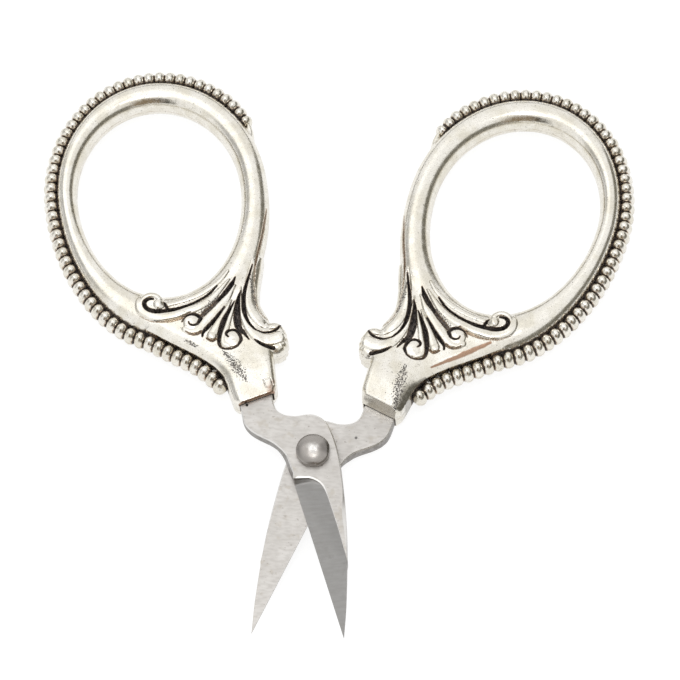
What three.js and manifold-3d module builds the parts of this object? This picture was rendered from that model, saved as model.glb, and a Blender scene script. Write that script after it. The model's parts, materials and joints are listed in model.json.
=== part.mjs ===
// Embroidery scissors: two steel blades on a rivet, each bonded into a cast handle with a beaded finger ring.
// Both halves are the same pair of pieces: the rear half is the front half turned over about Y.
// A half is drawn closed: pivot at the origin, blade along -Y, handle towards +Y, meeting plane at z = 0.
// Sizes are in millimetres and angles in degrees.

import * as THREE from 'three';
import { mergeVertices } from 'three/addons/utils/BufferGeometryUtils.js';
import Module from 'manifold-3d';

// Opening at rest: each half is turned this far from closed
const REST_HALF_ANGLE = 13.84;

// Blade
const BLADE_THICKNESS = 2.1;
const BLADE_GAP = 0.06;
const BLADE_REACH = 30;
const TIP_OFFSET = -0.2;
const SPINE_OFFSET = 3.7;
const RICASSO_OFFSET = 4.1;
const RICASSO_LENGTH = 3.8;
const HEEL_SETBACK = 0.45;
const BEVEL_WIDTH = 3.7;
const EDGE_LAND = 0.2;
const BEVEL_RUNOUT = 1.2;

// Spine from the pivot to the tip, as shares of the blade's reach and of the spine's offset
const SPINE_TAPER = [[0, 1], [0.17, 1], [0.47, 0.78], [0.8, 0.32]];

// Shank edges between the socket and the blade
const SHANK_UPPER = [[-4.6, 8.4], [-3.6, 7.1], [-1.8, 6.45], [0, 6.4], [1.2, 6.1], [2.3, 5.2], [3.1, 3.6]];
const SHANK_LOWER = [[-4.5, 0.2], [-5.2, 1.8], [-6.2, 2.9], [-8, 4.3], [-9.2, 5.6], [-9.8, 7.2]];

// Pivot
const PIVOT_RADIUS = 1.5;
const PIVOT_CLEARANCE = 0.06;
const PIVOT_END_PLAY = 0.05;
const HEAD_RADIUS = 2.6;
const HEAD_EDGE = 0.4;
const HEAD_DOME = 1.1;
const WASHER_RADIUS = 2.7;
const WASHER_THICKNESS = 0.35;
const TAIL_RADIUS = 2.1;
const TAIL_HEIGHT = 0.6;

// Socket and bond: the socket's mouth is square to its axis, which leans from +Y towards -X
const MOUTH_X = -7.3;
const MOUTH_Y = 10.7;
const SOCKET_LEAN = 10.8;
const SHANK_WIDTH = 5.2;
const TANG_LENGTH = 6.5;
const BOND_FIT = 0.05;
const BOND_THICKNESS = 0.25;
const BOND_END = 0.6;
const SOCKET_SIDE_WALL = 0.55;
const SOCKET_FACE_WALL = 0.6;

// Finger ring: a hole of two half ellipses that meet at RING_Y, with the rim round it at these widths
const RING_Y = 48.9;
const HOLE_HALF_WIDTH = 13;
const HOLE_ABOVE = 15.4;
const HOLE_BELOW = 18.3;
const STEM_EDGE = 0.1;
const STEM_WIDTH = 4.3;
const SIDE_WIDTH = 3.2;
const TOP_WIDTH = 4.6;
const FOOT_WIDTH = 7.5;
const RING_HALF_HEIGHT = 2.6;
const RING_SQUARE = 2.4;

// Beads along the rim, from the ring's top down to the socket
const BEAD_COUNT = 56;
const BEAD_RADIAL = 1.2;
const BEAD_SINK = 0.25;
const BEAD_GAP = 0.11;
const BEAD_HALF_HEIGHT = 1.8;
const BEADS_FROM = 29.5;
const BEADS_LEAVE_RIM = 250;

// Bead run below the ring: from the heel, then beside the socket as flare and distance from the mouth
const BEADS_BY_HEEL = [[4.2, -4.55]];
const BEADS_BY_SOCKET = [[3.5, 9.2], [1.85, 6.5], [0.4, 4.2]];

// Neck below the ring: left ends from the heel, right ends from the stem's foot, drop from the ring's face
const NECK = [
  { left: [-1.2, 0.95], right: [-0.3, -0.9], drop: 0.3, square: 2.6 },
  { left: [2.3, -1.95], right: [0.8, -8.1], drop: 0.1, square: 2.8 },
  { left: [4.9, -3.95], right: [0.8, -10.8], drop: 0, square: 3 },
];

// Neck down to the mouth: flare of each side past the mouth, distance from the mouth, share of the face wall
const SOCKET = [
  { flare: [2.8, 1.78], along: [9.7, 7.2], wall: 0.6, square: 4 },
  { flare: [1.1, 0.9], along: [6.8, 3.9], wall: 0.8, square: 4.5 },
  { flare: [0, 0], along: [3, 3], wall: 1, square: 5 },
  { flare: [0, 0], along: [0, 0], wall: 1, square: 5 },
];

// Scroll fan, from the stem's foot: strands with their half widths at the start, middle and end
const FAN_RISE = 0.15;
const FAN_SHOULDER = 0.55;
const STRANDS = [
  { path: [[0.1, 3.2], [-0.9, -0.1], [-1.5, -3.6], [-1.1, -6.3], [0.8, -8.4]], half: [0.5, 0.8, 0.9] },
  { path: [[-2.5, -1.2], [-3, -4.6], [-2.8, -7.4], [-1.5, -10], [0.6, -10.9]], half: [0.2, 0.45, 0.8] },
  { path: [[-3.5, -2.6], [-4.5, -4.6], [-5.6, -6.8], [-6.6, -9]], half: [0.15, 0.4, 0.5] },
  { path: [[-3.7, -1.7], [-5.2, -3.8], [-7, -6], [-8.7, -8.2]], half: [0.2, 0.55, 0.9] },
  { path: [[-3.1, -0.4], [-5.4, -2.6], [-8, -4.1], [-10.4, -5.1]], half: [0.2, 0.6, 0.7] },
  { path: [[-4.3, 0.8], [-7.4, -2], [-11.4, -3.7], [-15.2, -4], [-18.2, -2.4]], half: [0.3, 0.8, 1] },
];

// Volutes that end the strands, and the knob beside the stem, from the stem's foot
const VOLUTES = [
  { at: [-5.4, -9.5], radius: 1.35 },
  { at: [-11.1, -5.5], radius: 1.4 },
  { at: [-17, -0.6], radius: 2.2 },
];
const KNOB = [
  { at: [1.6, -8.7], half: [1.75, 1.5], drop: 0.1 },
  { at: [1.45, -11.3], half: [1.75, 2.4], drop: 0.2 },
];

// Facets
const UPPER_POINTS = 36;
const LOWER_POINTS = 20;
const RING_STEPS = 48;
const RING_SIDES = 8;
const NECK_SIDES = 16;
const STRAND_STEPS = 6;
const BEAD_SIDES = 6;
const BOSS_SIDES = 8;
const BOSS_ROWS = 6;
const PIVOT_SIDES = 24;
const DOME_STEPS = 5;
const TAIL_SIDES = 25;
const ROUTE_STEP = 5;
const ROUTE_DIVISIONS = 800;
const CUT_MARGIN = 5;

// Levels that several pieces share, from the meeting plane
const bladeInner = BLADE_GAP / 2;
const bladeOuter = bladeInner + BLADE_THICKNESS;
const headSeat = bladeOuter + PIVOT_END_PLAY;
const washerTop = -bladeOuter - PIVOT_END_PLAY;
const washerBottom = washerTop - WASHER_THICKNESS;
const tailFace = washerBottom - TAIL_HEIGHT;
const pivotHole = PIVOT_RADIUS + PIVOT_CLEARANCE;
const fanHalfHeight = RING_HALF_HEIGHT + FAN_RISE;

// Pocket in the socket, as half width, lowest and highest level
const bondSpace = 2 * BOND_FIT + BOND_THICKNESS;
const pocketHalfWidth = SHANK_WIDTH / 2 + bondSpace;
const pocketLow = bladeInner - bondSpace;
const pocketHigh = bladeOuter + bondSpace;
const pocketDepth = TANG_LENGTH + 2 * BOND_FIT + BOND_END;
const socketHalfWidth = pocketHalfWidth + SOCKET_SIDE_WALL;

// Ring outlines: the stem's edge and width place the hole, and the rim follows from the hole
const holeX = STEM_EDGE - STEM_WIDTH - HOLE_HALF_WIDTH;
const rimHalfWidth = HOLE_HALF_WIDTH + (STEM_WIDTH + SIDE_WIDTH) / 2;
const rimX = STEM_EDGE - rimHalfWidth;
const holePoint = (degrees) => ellipsePoint(degrees, holeX, HOLE_HALF_WIDTH, HOLE_ABOVE, HOLE_BELOW);
const rimPoint = (degrees, grow) => ellipsePoint(
  degrees, rimX, rimHalfWidth + grow, HOLE_ABOVE + TOP_WIDTH + grow, HOLE_BELOW + FOOT_WIDTH + grow,
);

// Places that the neck, beads and fan are measured from
const stemFoot = [STEM_EDGE - STEM_WIDTH, RING_Y - HOLE_BELOW];
const heel = rimPoint(BEADS_LEAVE_RIM, 0);
const from = (place, [x, y]) => [place[0] + x, place[1] + y];

const wasm = await Module();
wasm.setup();

function solid(geometry) {
  const bare = geometry.index ? geometry.toNonIndexed() : geometry.clone();
  bare.deleteAttribute('normal');
  bare.deleteAttribute('uv');
  const merged = mergeVertices(bare, 1e-5);
  return new wasm.Manifold(new wasm.Mesh({
    numProp: 3,
    vertProperties: new Float32Array(merged.attributes.position.array),
    triVerts: new Uint32Array(merged.index.array),
  }));
}

function geometryOf(manifold) {
  const mesh = manifold.getMesh();
  const geometry = new THREE.BufferGeometry();
  geometry.setAttribute('position', new THREE.BufferAttribute(new Float32Array(mesh.vertProperties), 3));
  geometry.setIndex(new THREE.BufferAttribute(new Uint32Array(mesh.triVerts), 1));
  geometry.computeVertexNormals();
  return geometry;
}

// A closed skin over rings of points, with flat ends unless the rings themselves close on each other
function loft(rings, endless) {
  const count = rings[0].length;
  const points = rings.flat();
  const faces = [];
  const spans = endless ? rings.length : rings.length - 1;
  for (let i = 0; i < spans; i += 1) {
    const here = i * count;
    const next = ((i + 1) % rings.length) * count;
    for (let j = 0; j < count; j += 1) {
      const k = (j + 1) % count;
      faces.push(here + j, next + j, next + k, here + j, next + k, here + k);
    }
  }
  if (!endless) {
    const last = (rings.length - 1) * count;
    for (let j = 1; j < count - 1; j += 1) {
      faces.push(0, j, j + 1);
      faces.push(last, last + j + 1, last + j);
    }
  }
  const geometry = new THREE.BufferGeometry().setFromPoints(points);
  geometry.setIndex(volumeOf(points, faces) < 0 ? faces.reverse() : faces);
  return geometry;
}

function volumeOf(points, faces) {
  let sum = 0;
  for (let i = 0; i < faces.length; i += 3) {
    const [a, b, c] = [points[faces[i]], points[faces[i + 1]], points[faces[i + 2]]];
    sum += a.dot(new THREE.Vector3().crossVectors(b, c)) / 6;
  }
  return sum;
}

// A rounded section between two plan points, upright, with its own half height
function sectionBetween(a, b, halfHeight, square, sides) {
  const ring = [];
  for (let i = 0; i < sides; i += 1) {
    const angle = (2 * Math.PI * (i + 0.5)) / sides;
    const across = Math.sign(Math.cos(angle)) * Math.abs(Math.cos(angle)) ** (2 / square);
    const up = Math.sign(Math.sin(angle)) * Math.abs(Math.sin(angle)) ** (2 / square);
    const share = (1 + across) / 2;
    ring.push(new THREE.Vector3(
      a[0] + (b[0] - a[0]) * share,
      a[1] + (b[1] - a[1]) * share,
      halfHeight * up,
    ));
  }
  return ring;
}

function extrude(shape, low, high) {
  const geometry = new THREE.ExtrudeGeometry(shape, { depth: high - low, bevelEnabled: false });
  return geometry.translate(0, 0, low);
}

function circle(radius, sides) {
  const points = [];
  for (let i = 0; i < sides; i += 1) {
    const angle = (2 * Math.PI * i) / sides;
    points.push(new THREE.Vector2(radius * Math.cos(angle), radius * Math.sin(angle)));
  }
  return points;
}

// A plan point from its place across and along the socket, measured from the middle of the mouth
function socketPoint(across, along) {
  const lean = THREE.MathUtils.degToRad(SOCKET_LEAN);
  return [
    MOUTH_X + across * Math.cos(lean) - along * Math.sin(lean),
    MOUTH_Y + across * Math.sin(lean) + along * Math.cos(lean),
  ];
}

// A block in the socket, between two distances along its axis
function socketBlock(halfWidth, start, end, low, high) {
  const corners = [[-halfWidth, start], [halfWidth, start], [halfWidth, end], [-halfWidth, end]];
  const shape = new THREE.Shape(corners.map(([s, r]) => new THREE.Vector2(...socketPoint(s, r))));
  return solid(extrude(shape, low, high));
}

function ellipsePoint(degrees, x, halfWidth, above, below) {
  const angle = THREE.MathUtils.degToRad(degrees);
  const rise = Math.sin(angle);
  return [x + halfWidth * Math.cos(angle), RING_Y + (rise > 0 ? above : below) * rise];
}

function smoothLine(points) {
  return new THREE.CatmullRomCurve3(points.map(([x, y]) => new THREE.Vector3(x, y, 0)), false, 'centripetal');
}

// Blade: outline with shank and tang, pivot hole, and the bevel ground down to the cutting edge
function bladeSolid() {
  const half = SHANK_WIDTH / 2;
  const tip = [TIP_OFFSET, -BLADE_REACH];
  const edgeStart = [HEEL_SETBACK - RICASSO_OFFSET, -RICASSO_LENGTH];
  const ricasso = [-RICASSO_OFFSET, -RICASSO_LENGTH / 2];
  const spine = SPINE_TAPER.map(([reach, offset]) => [SPINE_OFFSET * offset, -BLADE_REACH * reach]);
  const upper = smoothLine([socketPoint(half, 0), ...SHANK_UPPER, ...spine, tip]);
  const lower = smoothLine([edgeStart, ricasso, ...SHANK_LOWER, socketPoint(-half, 0)]);
  const outline = [
    ...upper.getPoints(UPPER_POINTS),
    ...lower.getPoints(LOWER_POINTS),
    new THREE.Vector3(...socketPoint(-half, TANG_LENGTH), 0),
    new THREE.Vector3(...socketPoint(half, TANG_LENGTH), 0),
  ];
  const shape = new THREE.Shape(outline.map((p) => new THREE.Vector2(p.x, p.y)));
  shape.holes.push(new THREE.Path(circle(pivotHole, PIVOT_SIDES)));
  return solid(extrude(shape, bladeInner, bladeOuter)).subtract(bevelCutter(edgeStart, tip));
}

// The material that grinding takes off: a wedge over the cutting edge, with a sloping run-out at the ricasso
function bevelCutter(edgeStart, tip) {
  const along = new THREE.Vector2(tip[0] - edgeStart[0], tip[1] - edgeStart[1]).normalize();
  const inward = new THREE.Vector2(-along.y, along.x);
  const landLevel = bladeInner + EDGE_LAND;
  const slope = (bladeOuter - landLevel) / BEVEL_WIDTH;
  const top = bladeOuter + slope * CUT_MARGIN + BLADE_THICKNESS + CUT_MARGIN;
  const reach = BLADE_REACH + CUT_MARGIN;
  const station = (distance, setback) => [
    [-CUT_MARGIN, landLevel - slope * CUT_MARGIN + setback],
    [BEVEL_WIDTH + CUT_MARGIN, bladeOuter + slope * CUT_MARGIN + setback],
    [BEVEL_WIDTH + CUT_MARGIN, top],
    [-CUT_MARGIN, top],
  ].map(([offset, level]) => new THREE.Vector3(
    edgeStart[0] + along.x * distance + inward.x * offset,
    edgeStart[1] + along.y * distance + inward.y * offset,
    level,
  ));
  return solid(loft([station(0, BLADE_THICKNESS), station(BEVEL_RUNOUT, 0), station(reach, 0)], false));
}

// Ring: a rounded band between the hole and the rim
function ringSolid() {
  const rings = [];
  for (let i = 0; i < RING_STEPS; i += 1) {
    const degrees = (360 * i) / RING_STEPS;
    const [inner, outer] = [holePoint(degrees), rimPoint(degrees, 0)];
    rings.push(sectionBetween(inner, outer, RING_HALF_HEIGHT, RING_SQUARE, RING_SIDES));
  }
  return solid(loft(rings, true));
}

// Neck: from the fan down to the socket's mouth
function neckSolid() {
  const fromRing = NECK.map(({ left, right, drop, square }) => sectionBetween(
    from(heel, left), from(stemFoot, right), RING_HALF_HEIGHT - drop, square, NECK_SIDES,
  ));
  const toMouth = SOCKET.map(({ flare, along, wall, square }) => sectionBetween(
    socketPoint(-socketHalfWidth - flare[0], along[0]),
    socketPoint(socketHalfWidth + flare[1], along[1]),
    pocketHigh + SOCKET_FACE_WALL * wall,
    square,
    NECK_SIDES,
  ));
  return solid(loft([...fromRing, ...toMouth], false));
}

// Beads: short barrels, evenly spaced from the ring's top, round the left side and down to the socket
function beadSolids() {
  const route = [];
  for (let degrees = BEADS_FROM; degrees <= BEADS_LEAVE_RIM; degrees += ROUTE_STEP) {
    route.push(rimPoint(degrees, BEAD_RADIAL - BEAD_SINK));
  }
  route.push(...BEADS_BY_HEEL.map((point) => from(heel, point)));
  route.push(...BEADS_BY_SOCKET.map(([flare, along]) => socketPoint(-socketHalfWidth - flare, along)));
  const line = smoothLine(route);
  line.arcLengthDivisions = ROUTE_DIVISIONS;
  const pitch = line.getLength() / (BEAD_COUNT - 1);
  const profile = [[0, -1], [1, -0.5], [1, 0.5], [0, 1]].map(([r, z]) => new THREE.Vector2(r, z));
  const beads = [];
  for (let i = 0; i < BEAD_COUNT; i += 1) {
    const at = line.getPointAt(i / (BEAD_COUNT - 1));
    const along = line.getTangentAt(i / (BEAD_COUNT - 1));
    const barrel = new THREE.LatheGeometry(profile, BEAD_SIDES).rotateX(Math.PI / 2);
    barrel.scale((pitch - BEAD_GAP) / 2, BEAD_RADIAL, BEAD_HALF_HEIGHT);
    barrel.rotateZ(Math.atan2(along.y, along.x));
    beads.push(solid(barrel.translate(at.x, at.y, 0)));
  }
  return beads;
}

// One strand: a ridge that shows on both faces, along its path
function strandSolid({ path, half }) {
  const line = smoothLine(path.map((point) => from(stemFoot, point)));
  const side = fanHalfHeight - FAN_SHOULDER;
  const rings = [];
  for (let i = 0; i <= STRAND_STEPS; i += 1) {
    const share = i / STRAND_STEPS;
    const at = line.getPointAt(share);
    const along = line.getTangentAt(share);
    const width = share < 0.5
      ? THREE.MathUtils.lerp(half[0], half[1], share * 2)
      : THREE.MathUtils.lerp(half[1], half[2], share * 2 - 1);
    const profile = [
      [0, fanHalfHeight], [width, side], [width, -side],
      [0, -fanHalfHeight], [-width, -side], [-width, side],
    ];
    rings.push(profile.map(([across, up]) => new THREE.Vector3(
      at.x - along.y * across, at.y + along.x * across, up,
    )));
  }
  return solid(loft(rings, false));
}

// A rounded boss through both faces, measured from the stem's foot
function boss(at, half, halfHeight) {
  const geometry = new THREE.SphereGeometry(1, BOSS_SIDES, BOSS_ROWS).rotateX(Math.PI / 2);
  geometry.scale(half[0], half[1], halfHeight);
  const [x, y] = from(stemFoot, at);
  return solid(geometry.translate(x, y, 0));
}

// Handle: ring, neck, beads, fan, volutes and knob in one casting, with the pocket for the tang
function handleSolid() {
  const parts = [
    ringSolid(),
    neckSolid(),
    ...beadSolids(),
    ...STRANDS.map(strandSolid),
    ...VOLUTES.map(({ at, radius }) => boss(at, [radius, radius], fanHalfHeight)),
    ...KNOB.map(({ at, half, drop }) => boss(at, half, RING_HALF_HEIGHT - drop)),
  ];
  const casting = parts.reduce((all, part) => all.add(part));
  return casting.subtract(socketBlock(pocketHalfWidth, -CUT_MARGIN, pocketDepth, pocketLow, pocketHigh));
}

// Bond: a sleeve round the tang, closed at its end
function bondSolid() {
  const outerHalf = pocketHalfWidth - BOND_FIT;
  const innerHalf = SHANK_WIDTH / 2 + BOND_FIT;
  const end = pocketDepth - BOND_FIT;
  const sleeve = socketBlock(outerHalf, BOND_FIT, end, pocketLow + BOND_FIT, pocketHigh - BOND_FIT);
  const room = socketBlock(
    innerHalf, -CUT_MARGIN, TANG_LENGTH + BOND_FIT, bladeInner - BOND_FIT, bladeOuter + BOND_FIT,
  );
  return sleeve.subtract(room);
}

// Rivet: domed head in front, shank through both blades, set flat at the back
function rivetSolid() {
  const insideTail = (washerBottom + tailFace) / 2;
  const profile = [
    new THREE.Vector2(0, insideTail),
    new THREE.Vector2(PIVOT_RADIUS, insideTail),
    new THREE.Vector2(PIVOT_RADIUS, headSeat),
    new THREE.Vector2(HEAD_RADIUS, headSeat),
  ];
  for (let i = 0; i <= DOME_STEPS; i += 1) {
    const angle = (Math.PI / 2) * (i / DOME_STEPS);
    const radius = i === DOME_STEPS ? 0 : HEAD_RADIUS * Math.cos(angle);
    profile.push(new THREE.Vector2(radius, headSeat + HEAD_EDGE + HEAD_DOME * Math.sin(angle)));
  }
  const body = new THREE.LatheGeometry(profile, PIVOT_SIDES).rotateX(Math.PI / 2);
  const tail = extrude(new THREE.Shape(circle(TAIL_RADIUS, TAIL_SIDES)), tailFace, washerBottom);
  return solid(body).add(solid(tail));
}

function washerSolid() {
  const shape = new THREE.Shape(circle(WASHER_RADIUS, PIVOT_SIDES));
  shape.holes.push(new THREE.Path(circle(pivotHole, PIVOT_SIDES)));
  return solid(extrude(shape, washerBottom, washerTop));
}

// Finishes
const steel = new THREE.MeshStandardMaterial({ color: 0xd2cec8, roughness: 0.42, metalness: 1 });
const rivetSteel = new THREE.MeshStandardMaterial({ color: 0xa8a5a0, roughness: 0.35, metalness: 1 });
const antiqueSilver = new THREE.MeshStandardMaterial({ color: 0xdad5c8, roughness: 0.28, metalness: 1 });
const adhesive = new THREE.MeshStandardMaterial({ color: 0x6f5a44, roughness: 0.7, metalness: 0 });

function piece(name, geometry, material) {
  const mesh = new THREE.Mesh(geometry, material);
  mesh.name = name;
  return mesh;
}

const bladeGeometry = geometryOf(bladeSolid());
const handleGeometry = geometryOf(handleSolid());
const bondGeometry = geometryOf(bondSolid());

const frontHalf = new THREE.Group();
frontHalf.add(
  piece('front_blade', bladeGeometry, steel),
  piece('left_handle', handleGeometry, antiqueSilver),
  piece('left_tang_bond', bondGeometry, adhesive),
);
frontHalf.rotation.z = THREE.MathUtils.degToRad(REST_HALF_ANGLE);

const turnedOver = new THREE.Group();
turnedOver.add(
  piece('rear_blade', bladeGeometry, steel),
  piece('right_handle', handleGeometry, antiqueSilver),
  piece('right_tang_bond', bondGeometry, adhesive),
);
turnedOver.rotation.y = Math.PI;
const rearHalf = new THREE.Group();
rearHalf.add(turnedOver);
rearHalf.rotation.z = THREE.MathUtils.degToRad(-REST_HALF_ANGLE);

// The origin is on the pivot axis, at the flat back of the rivet
const scissors = new THREE.Group();
scissors.add(
  frontHalf,
  rearHalf,
  piece('pivot_rivet', geometryOf(rivetSolid()), rivetSteel),
  piece('pivot_washer', geometryOf(washerSolid()), rivetSteel),
);
scissors.position.z = -tailFace;

export default scissors;
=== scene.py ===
"""Embroidery scissors: antique-silver cast handles, ground steel blades and a turned rivet, on the frame.

Each half is drawn closed, in millimetres: pivot at the origin, blade along -Y, handle towards +Y and -X,
meeting plane at z = 0. The rear half is the front half turned over about Y.
"""
import json
import math
from itertools import product

import bmesh
import bpy
import numpy as np
from mathutils import Matrix, Vector


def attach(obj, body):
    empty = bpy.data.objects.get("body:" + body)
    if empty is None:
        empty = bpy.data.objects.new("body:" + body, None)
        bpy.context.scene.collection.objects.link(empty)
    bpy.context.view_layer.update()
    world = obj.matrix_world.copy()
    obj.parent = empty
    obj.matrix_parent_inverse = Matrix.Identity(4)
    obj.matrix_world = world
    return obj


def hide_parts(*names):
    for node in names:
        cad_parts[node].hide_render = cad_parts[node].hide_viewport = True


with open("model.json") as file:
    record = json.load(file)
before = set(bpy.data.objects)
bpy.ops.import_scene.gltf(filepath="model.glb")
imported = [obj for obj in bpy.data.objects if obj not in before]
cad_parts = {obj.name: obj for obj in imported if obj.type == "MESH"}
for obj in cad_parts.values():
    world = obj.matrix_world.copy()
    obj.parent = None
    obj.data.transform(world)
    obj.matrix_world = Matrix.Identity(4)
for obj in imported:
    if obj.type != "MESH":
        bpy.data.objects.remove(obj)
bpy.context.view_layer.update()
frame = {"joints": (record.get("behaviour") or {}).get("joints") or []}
scene = bpy.context.scene

# Frame: millimetres to metres, the meeting plane and the opening at rest
MM = 0.001
MEETING_PLANE = frame["joints"][0]["pos_m"][2]
REST_HALF_ANGLE = math.radians(13.84)

# The two halves: side of the handle, layer of the blade, body, and whether it is the front one
HALVES = [("left", "front", "front_half", True), ("right", "rear", "rear_half", False)]

# Blade: levels, plan and pivot hole
BLADE_INNER = 0.03
BLADE_OUTER = 2.13
TIP = (-0.2, -30)
EDGE_START = (-3.65, -3.8)
RICASSO = (-4.1, -1.9)
EDGE_LAND = 0.16
HEEL_FOOT = 0.3
SPINE = [(3.7, 0), (3.7, -5.1), (2.886, -14.1), (1.184, -24)]
SHANK_UPPER = [(-4.6, 8.4), (-3.6, 7.1), (-1.8, 6.45), (0, 6.4), (1.2, 6.1), (2.3, 5.2), (3.1, 3.6)]
SHANK_LOWER = [(-4.5, 0.2), (-5.2, 1.8), (-6.2, 2.9), (-8, 4.3), (-9.2, 5.6), (-9.8, 7.2)]
PIVOT_HOLE = 1.56
BORE_SIDES = 40
SHARP_TURN = math.radians(22)
MERGE_WITHIN = 0.0001

# Edges of the blade: chamfer, strip down the spine, and the sheared flank of the shank; chamfers and strip
# are painted bright as highlights, side walls painted dark as shade
CHAMFER = 0.2
SPINE_RUN_OUT = 8
SHANK_RUN_IN = 6
STRIP_WIDTH = 0.45
STRIP_STARTS = (7, 12)
STRIP_SHARE = 0.6
SHEAR_INSET = 0.3
SHEAR_DROP = 1.2
LEAN_STARTS = (0, 5)
LEAN_ENDS = (18, 32)

# Grind: its shoulder, the lip painted bright as a highlight, and the cove below the lip, whose steep upper
# rows are painted dark as shade
GRIND_WIDTH = 4.3
GRIND_SHOULDER = [(-2.3, -3.95), (-1.15, -4.2), (-0.2, -4.85), (0.4, -5.6), (0.8, -6.7), (1.15, -8.8),
                  (1.6, -12), (1.95, -15.6)]
GRIND_TOP = (2.28, -18.6)
GRIND_LIP = 0.26
FINE_LIP = 0.08
LIP_NARROWS = (5, 8)
LIP_RUN_IN = 3
LIP_RUN_OUT = 6
LIP_DROP = 0.06
LIP_SHARE = 0.4
GRIND_COVE = 0.6
COVE_FULL_DROP = 0.6
COVE_POWER = 2.5
COVE_STEPS = (0, 0.15, 0.35, 0.6, 1)
WALL_DROP = 0.3
WALL_ROWS = 2

# Small pits in the steel: place in the row frame, radius and darkness
PITS = [((-0.01084, 0.00712, 0.00526), 0.3, 1), ((0.0062, 0.0036, 0.0031), 0.3, 0.7)]

# Socket, with the tang's pocket and the mouth
MOUTH = (-7.3, 10.7)
SOCKET_LEAN = math.radians(10.8)
SHANK_WIDTH = 5.2
TANG_LENGTH = 6.5
POCKET_HALF_WIDTH = 2.95
POCKET_LOW = -0.32
POCKET_HIGH = 2.48
POCKET_DEPTH = 7.2
SOCKET_HALF_WIDTH = 3.5
SOCKET_HALF_HEIGHT = 3.08
MOUTH_NOSE = 0.58
NOSE_FADES = (0.2, 3.1)
MOUTH_ROUND = 0.3
MOUTH_CORNERS = (2.4, 3.3)
MOUTH_LIP = 0.2
LIP_FADES = (-0.1, 0.15)

# Finger ring
RING_Y = 48.9
HOLE = {"x": -17.2, "half": 13.0, "above": 15.4, "below": 18.3}
RIM = {"x": -16.65, "half": 16.75, "above": 20.0, "below": 25.8}
RING_HALF_HEIGHT = 2.6
RING_SQUARE = 2.3

# Beads
BEAD_COUNT = 56
BEAD_HALF = (1.1, 1.3, 1.78)
BEAD_STANDOFF = 0.87
BEAD_SEGMENTS = 24
BEAD_RINGS = 14
BEAD_TAPER = 0.82
BEADS_FROM = 30.5
BEADS_SUNK = 0.2
BEADS_RISE_OVER = 12
BEADS_LEAVE_RIM = 250
BEADS_BELOW = [(-18.13, 20.19), (-15.84, 18.44), (-13.75, 16.15), (-12.4, 14.3)]

# Plain tail of the bead run on the ring: path and half widths along it
BEAD_TAIL = ([(-1.3, 58.3), (-1.22, 57.3), (-1.17, 56.3), (-1.15, 55)], [0.45, 0.5, 0.4, 0.15])

# Neck outline from the mouth's left corner, up the bead groove, through the ring and down the knob's side
NECK_LEFT = [(-10.74, 10.04), (-11.12, 12.2), (-11.42, 14), (-11.95, 15.6), (-13.05, 17.2), (-14.45, 18.6),
             (-16.25, 20.15), (-18.05, 21.55), (-20.05, 23.15), (-22.3, 25.1)]
NECK_INSIDE_RING = [(-22.4, 27), (-17, 28.4), (-10.5, 29.6), (-6, 32), (-3, 35)]
NECK_RIGHT = [(-2.55, 34.2), (-3.2, 32), (-3.75, 30.2), (-4.15, 28.5), (-4.3, 26.7), (-3.9, 25.2),
              (-3.3, 23.4), (-3.3, 20.5), (-3.5, 18), (-3.65, 15.5), (-3.75, 13.3), (-3.86, 11.36)]
NECK_PAST_MOUTH = 3
NECK_JOINS = 0.5

# Edges of the neck and the socket, as rounding across and down, and where each gives way to the next
NECK_ROUND = (2.5, 1.5)
NECK_CHAMFER = (1.6, 0.6)
SOCKET_ROUND = (1, 1)
SOCKET_CHAMFER = (1.6, 1.1)
SOCKET_FADES = (3, 10.5)
FLANK_FADES = (3, 4.2)
FLANK_ACROSS = (-1, 0.5)
CRISP_FLANK = 0.9
SOFT_FRONT = 0.85
FRONT_STARTS = (0.5, 1.5)

# Thumb knob with its flutes, and the outside of the coil
KNOB = {"x": -2.85, "y": 20, "half": 1.95, "long": 2.7, "flute": 0.07, "flutes": 16}
FLUTES_FACE = -0.5
FLUTES_SPREAD = (0.4, 0.8)
COIL = {"x": -20.95, "y": 29.15, "radius": 2.05}

# Raised forms: half height, rounding across and down, and how softly each joins the body
FORMS = {"coil": (2.72, 0.9, 0.9, 0.2), "knob": (2.55, 0.9, 1.1, 0.4), "tail": (1.2, 0.4, 0.8, 0.3)}

# Wire through the beads: half width, half height and rounding
BEAD_WIRE = (0.5, 0.9, 0.3)

# Raster steps, and how the skin settles on the surface
PLAN_STEP = 0.07
SKIN_STEP = 0.125
MOST_TRIANGLES = 192000
PLAN_LOW = (-35.6, 8.6)
PLAN_HIGH = (0.9, 71.2)
SKIN_TOP = 3.4
SKIN_INSET = 0.2
SETTLE_ROUNDS = 3
SETTLE_DAMPING = 0.05


def smooth_line(points, per_span=8):
    """A smooth line through given points."""
    p = np.array(points, float)
    p = np.vstack([2 * p[0] - p[1], p, 2 * p[-1] - p[-2]])
    t = np.linspace(0, 1, per_span, endpoint=False)[:, None]
    spans = []
    for a, b, c, d in zip(p, p[1:], p[2:], p[3:]):
        spans.append(b + 0.5 * t * (c - a + t * (2 * a - 5 * b + 4 * c - d + t * (3 * b - a - 3 * c + d))))
    return np.vstack([*spans, p[-2:-1]])


def socket_point(across, along):
    """A plan point from its place across and along the socket, from the middle of the mouth."""
    c, s = math.cos(SOCKET_LEAN), math.sin(SOCKET_LEAN)
    return MOUTH[0] + across * c - along * s, MOUTH[1] + across * s + along * c


def socket_place(x, y):
    c, s = math.cos(SOCKET_LEAN), math.sin(SOCKET_LEAN)
    dx, dy = x - MOUTH[0], y - MOUTH[1]
    return dx * c + dy * s, dy * c - dx * s


def oval_point(oval, degrees, grow=0.0):
    turn = math.radians(degrees)
    rise = math.sin(turn)
    tall = oval["above"] if rise > 0 else oval["below"]
    return oval["x"] + (oval["half"] + grow) * math.cos(turn), RING_Y + (tall + grow) * rise


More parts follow.
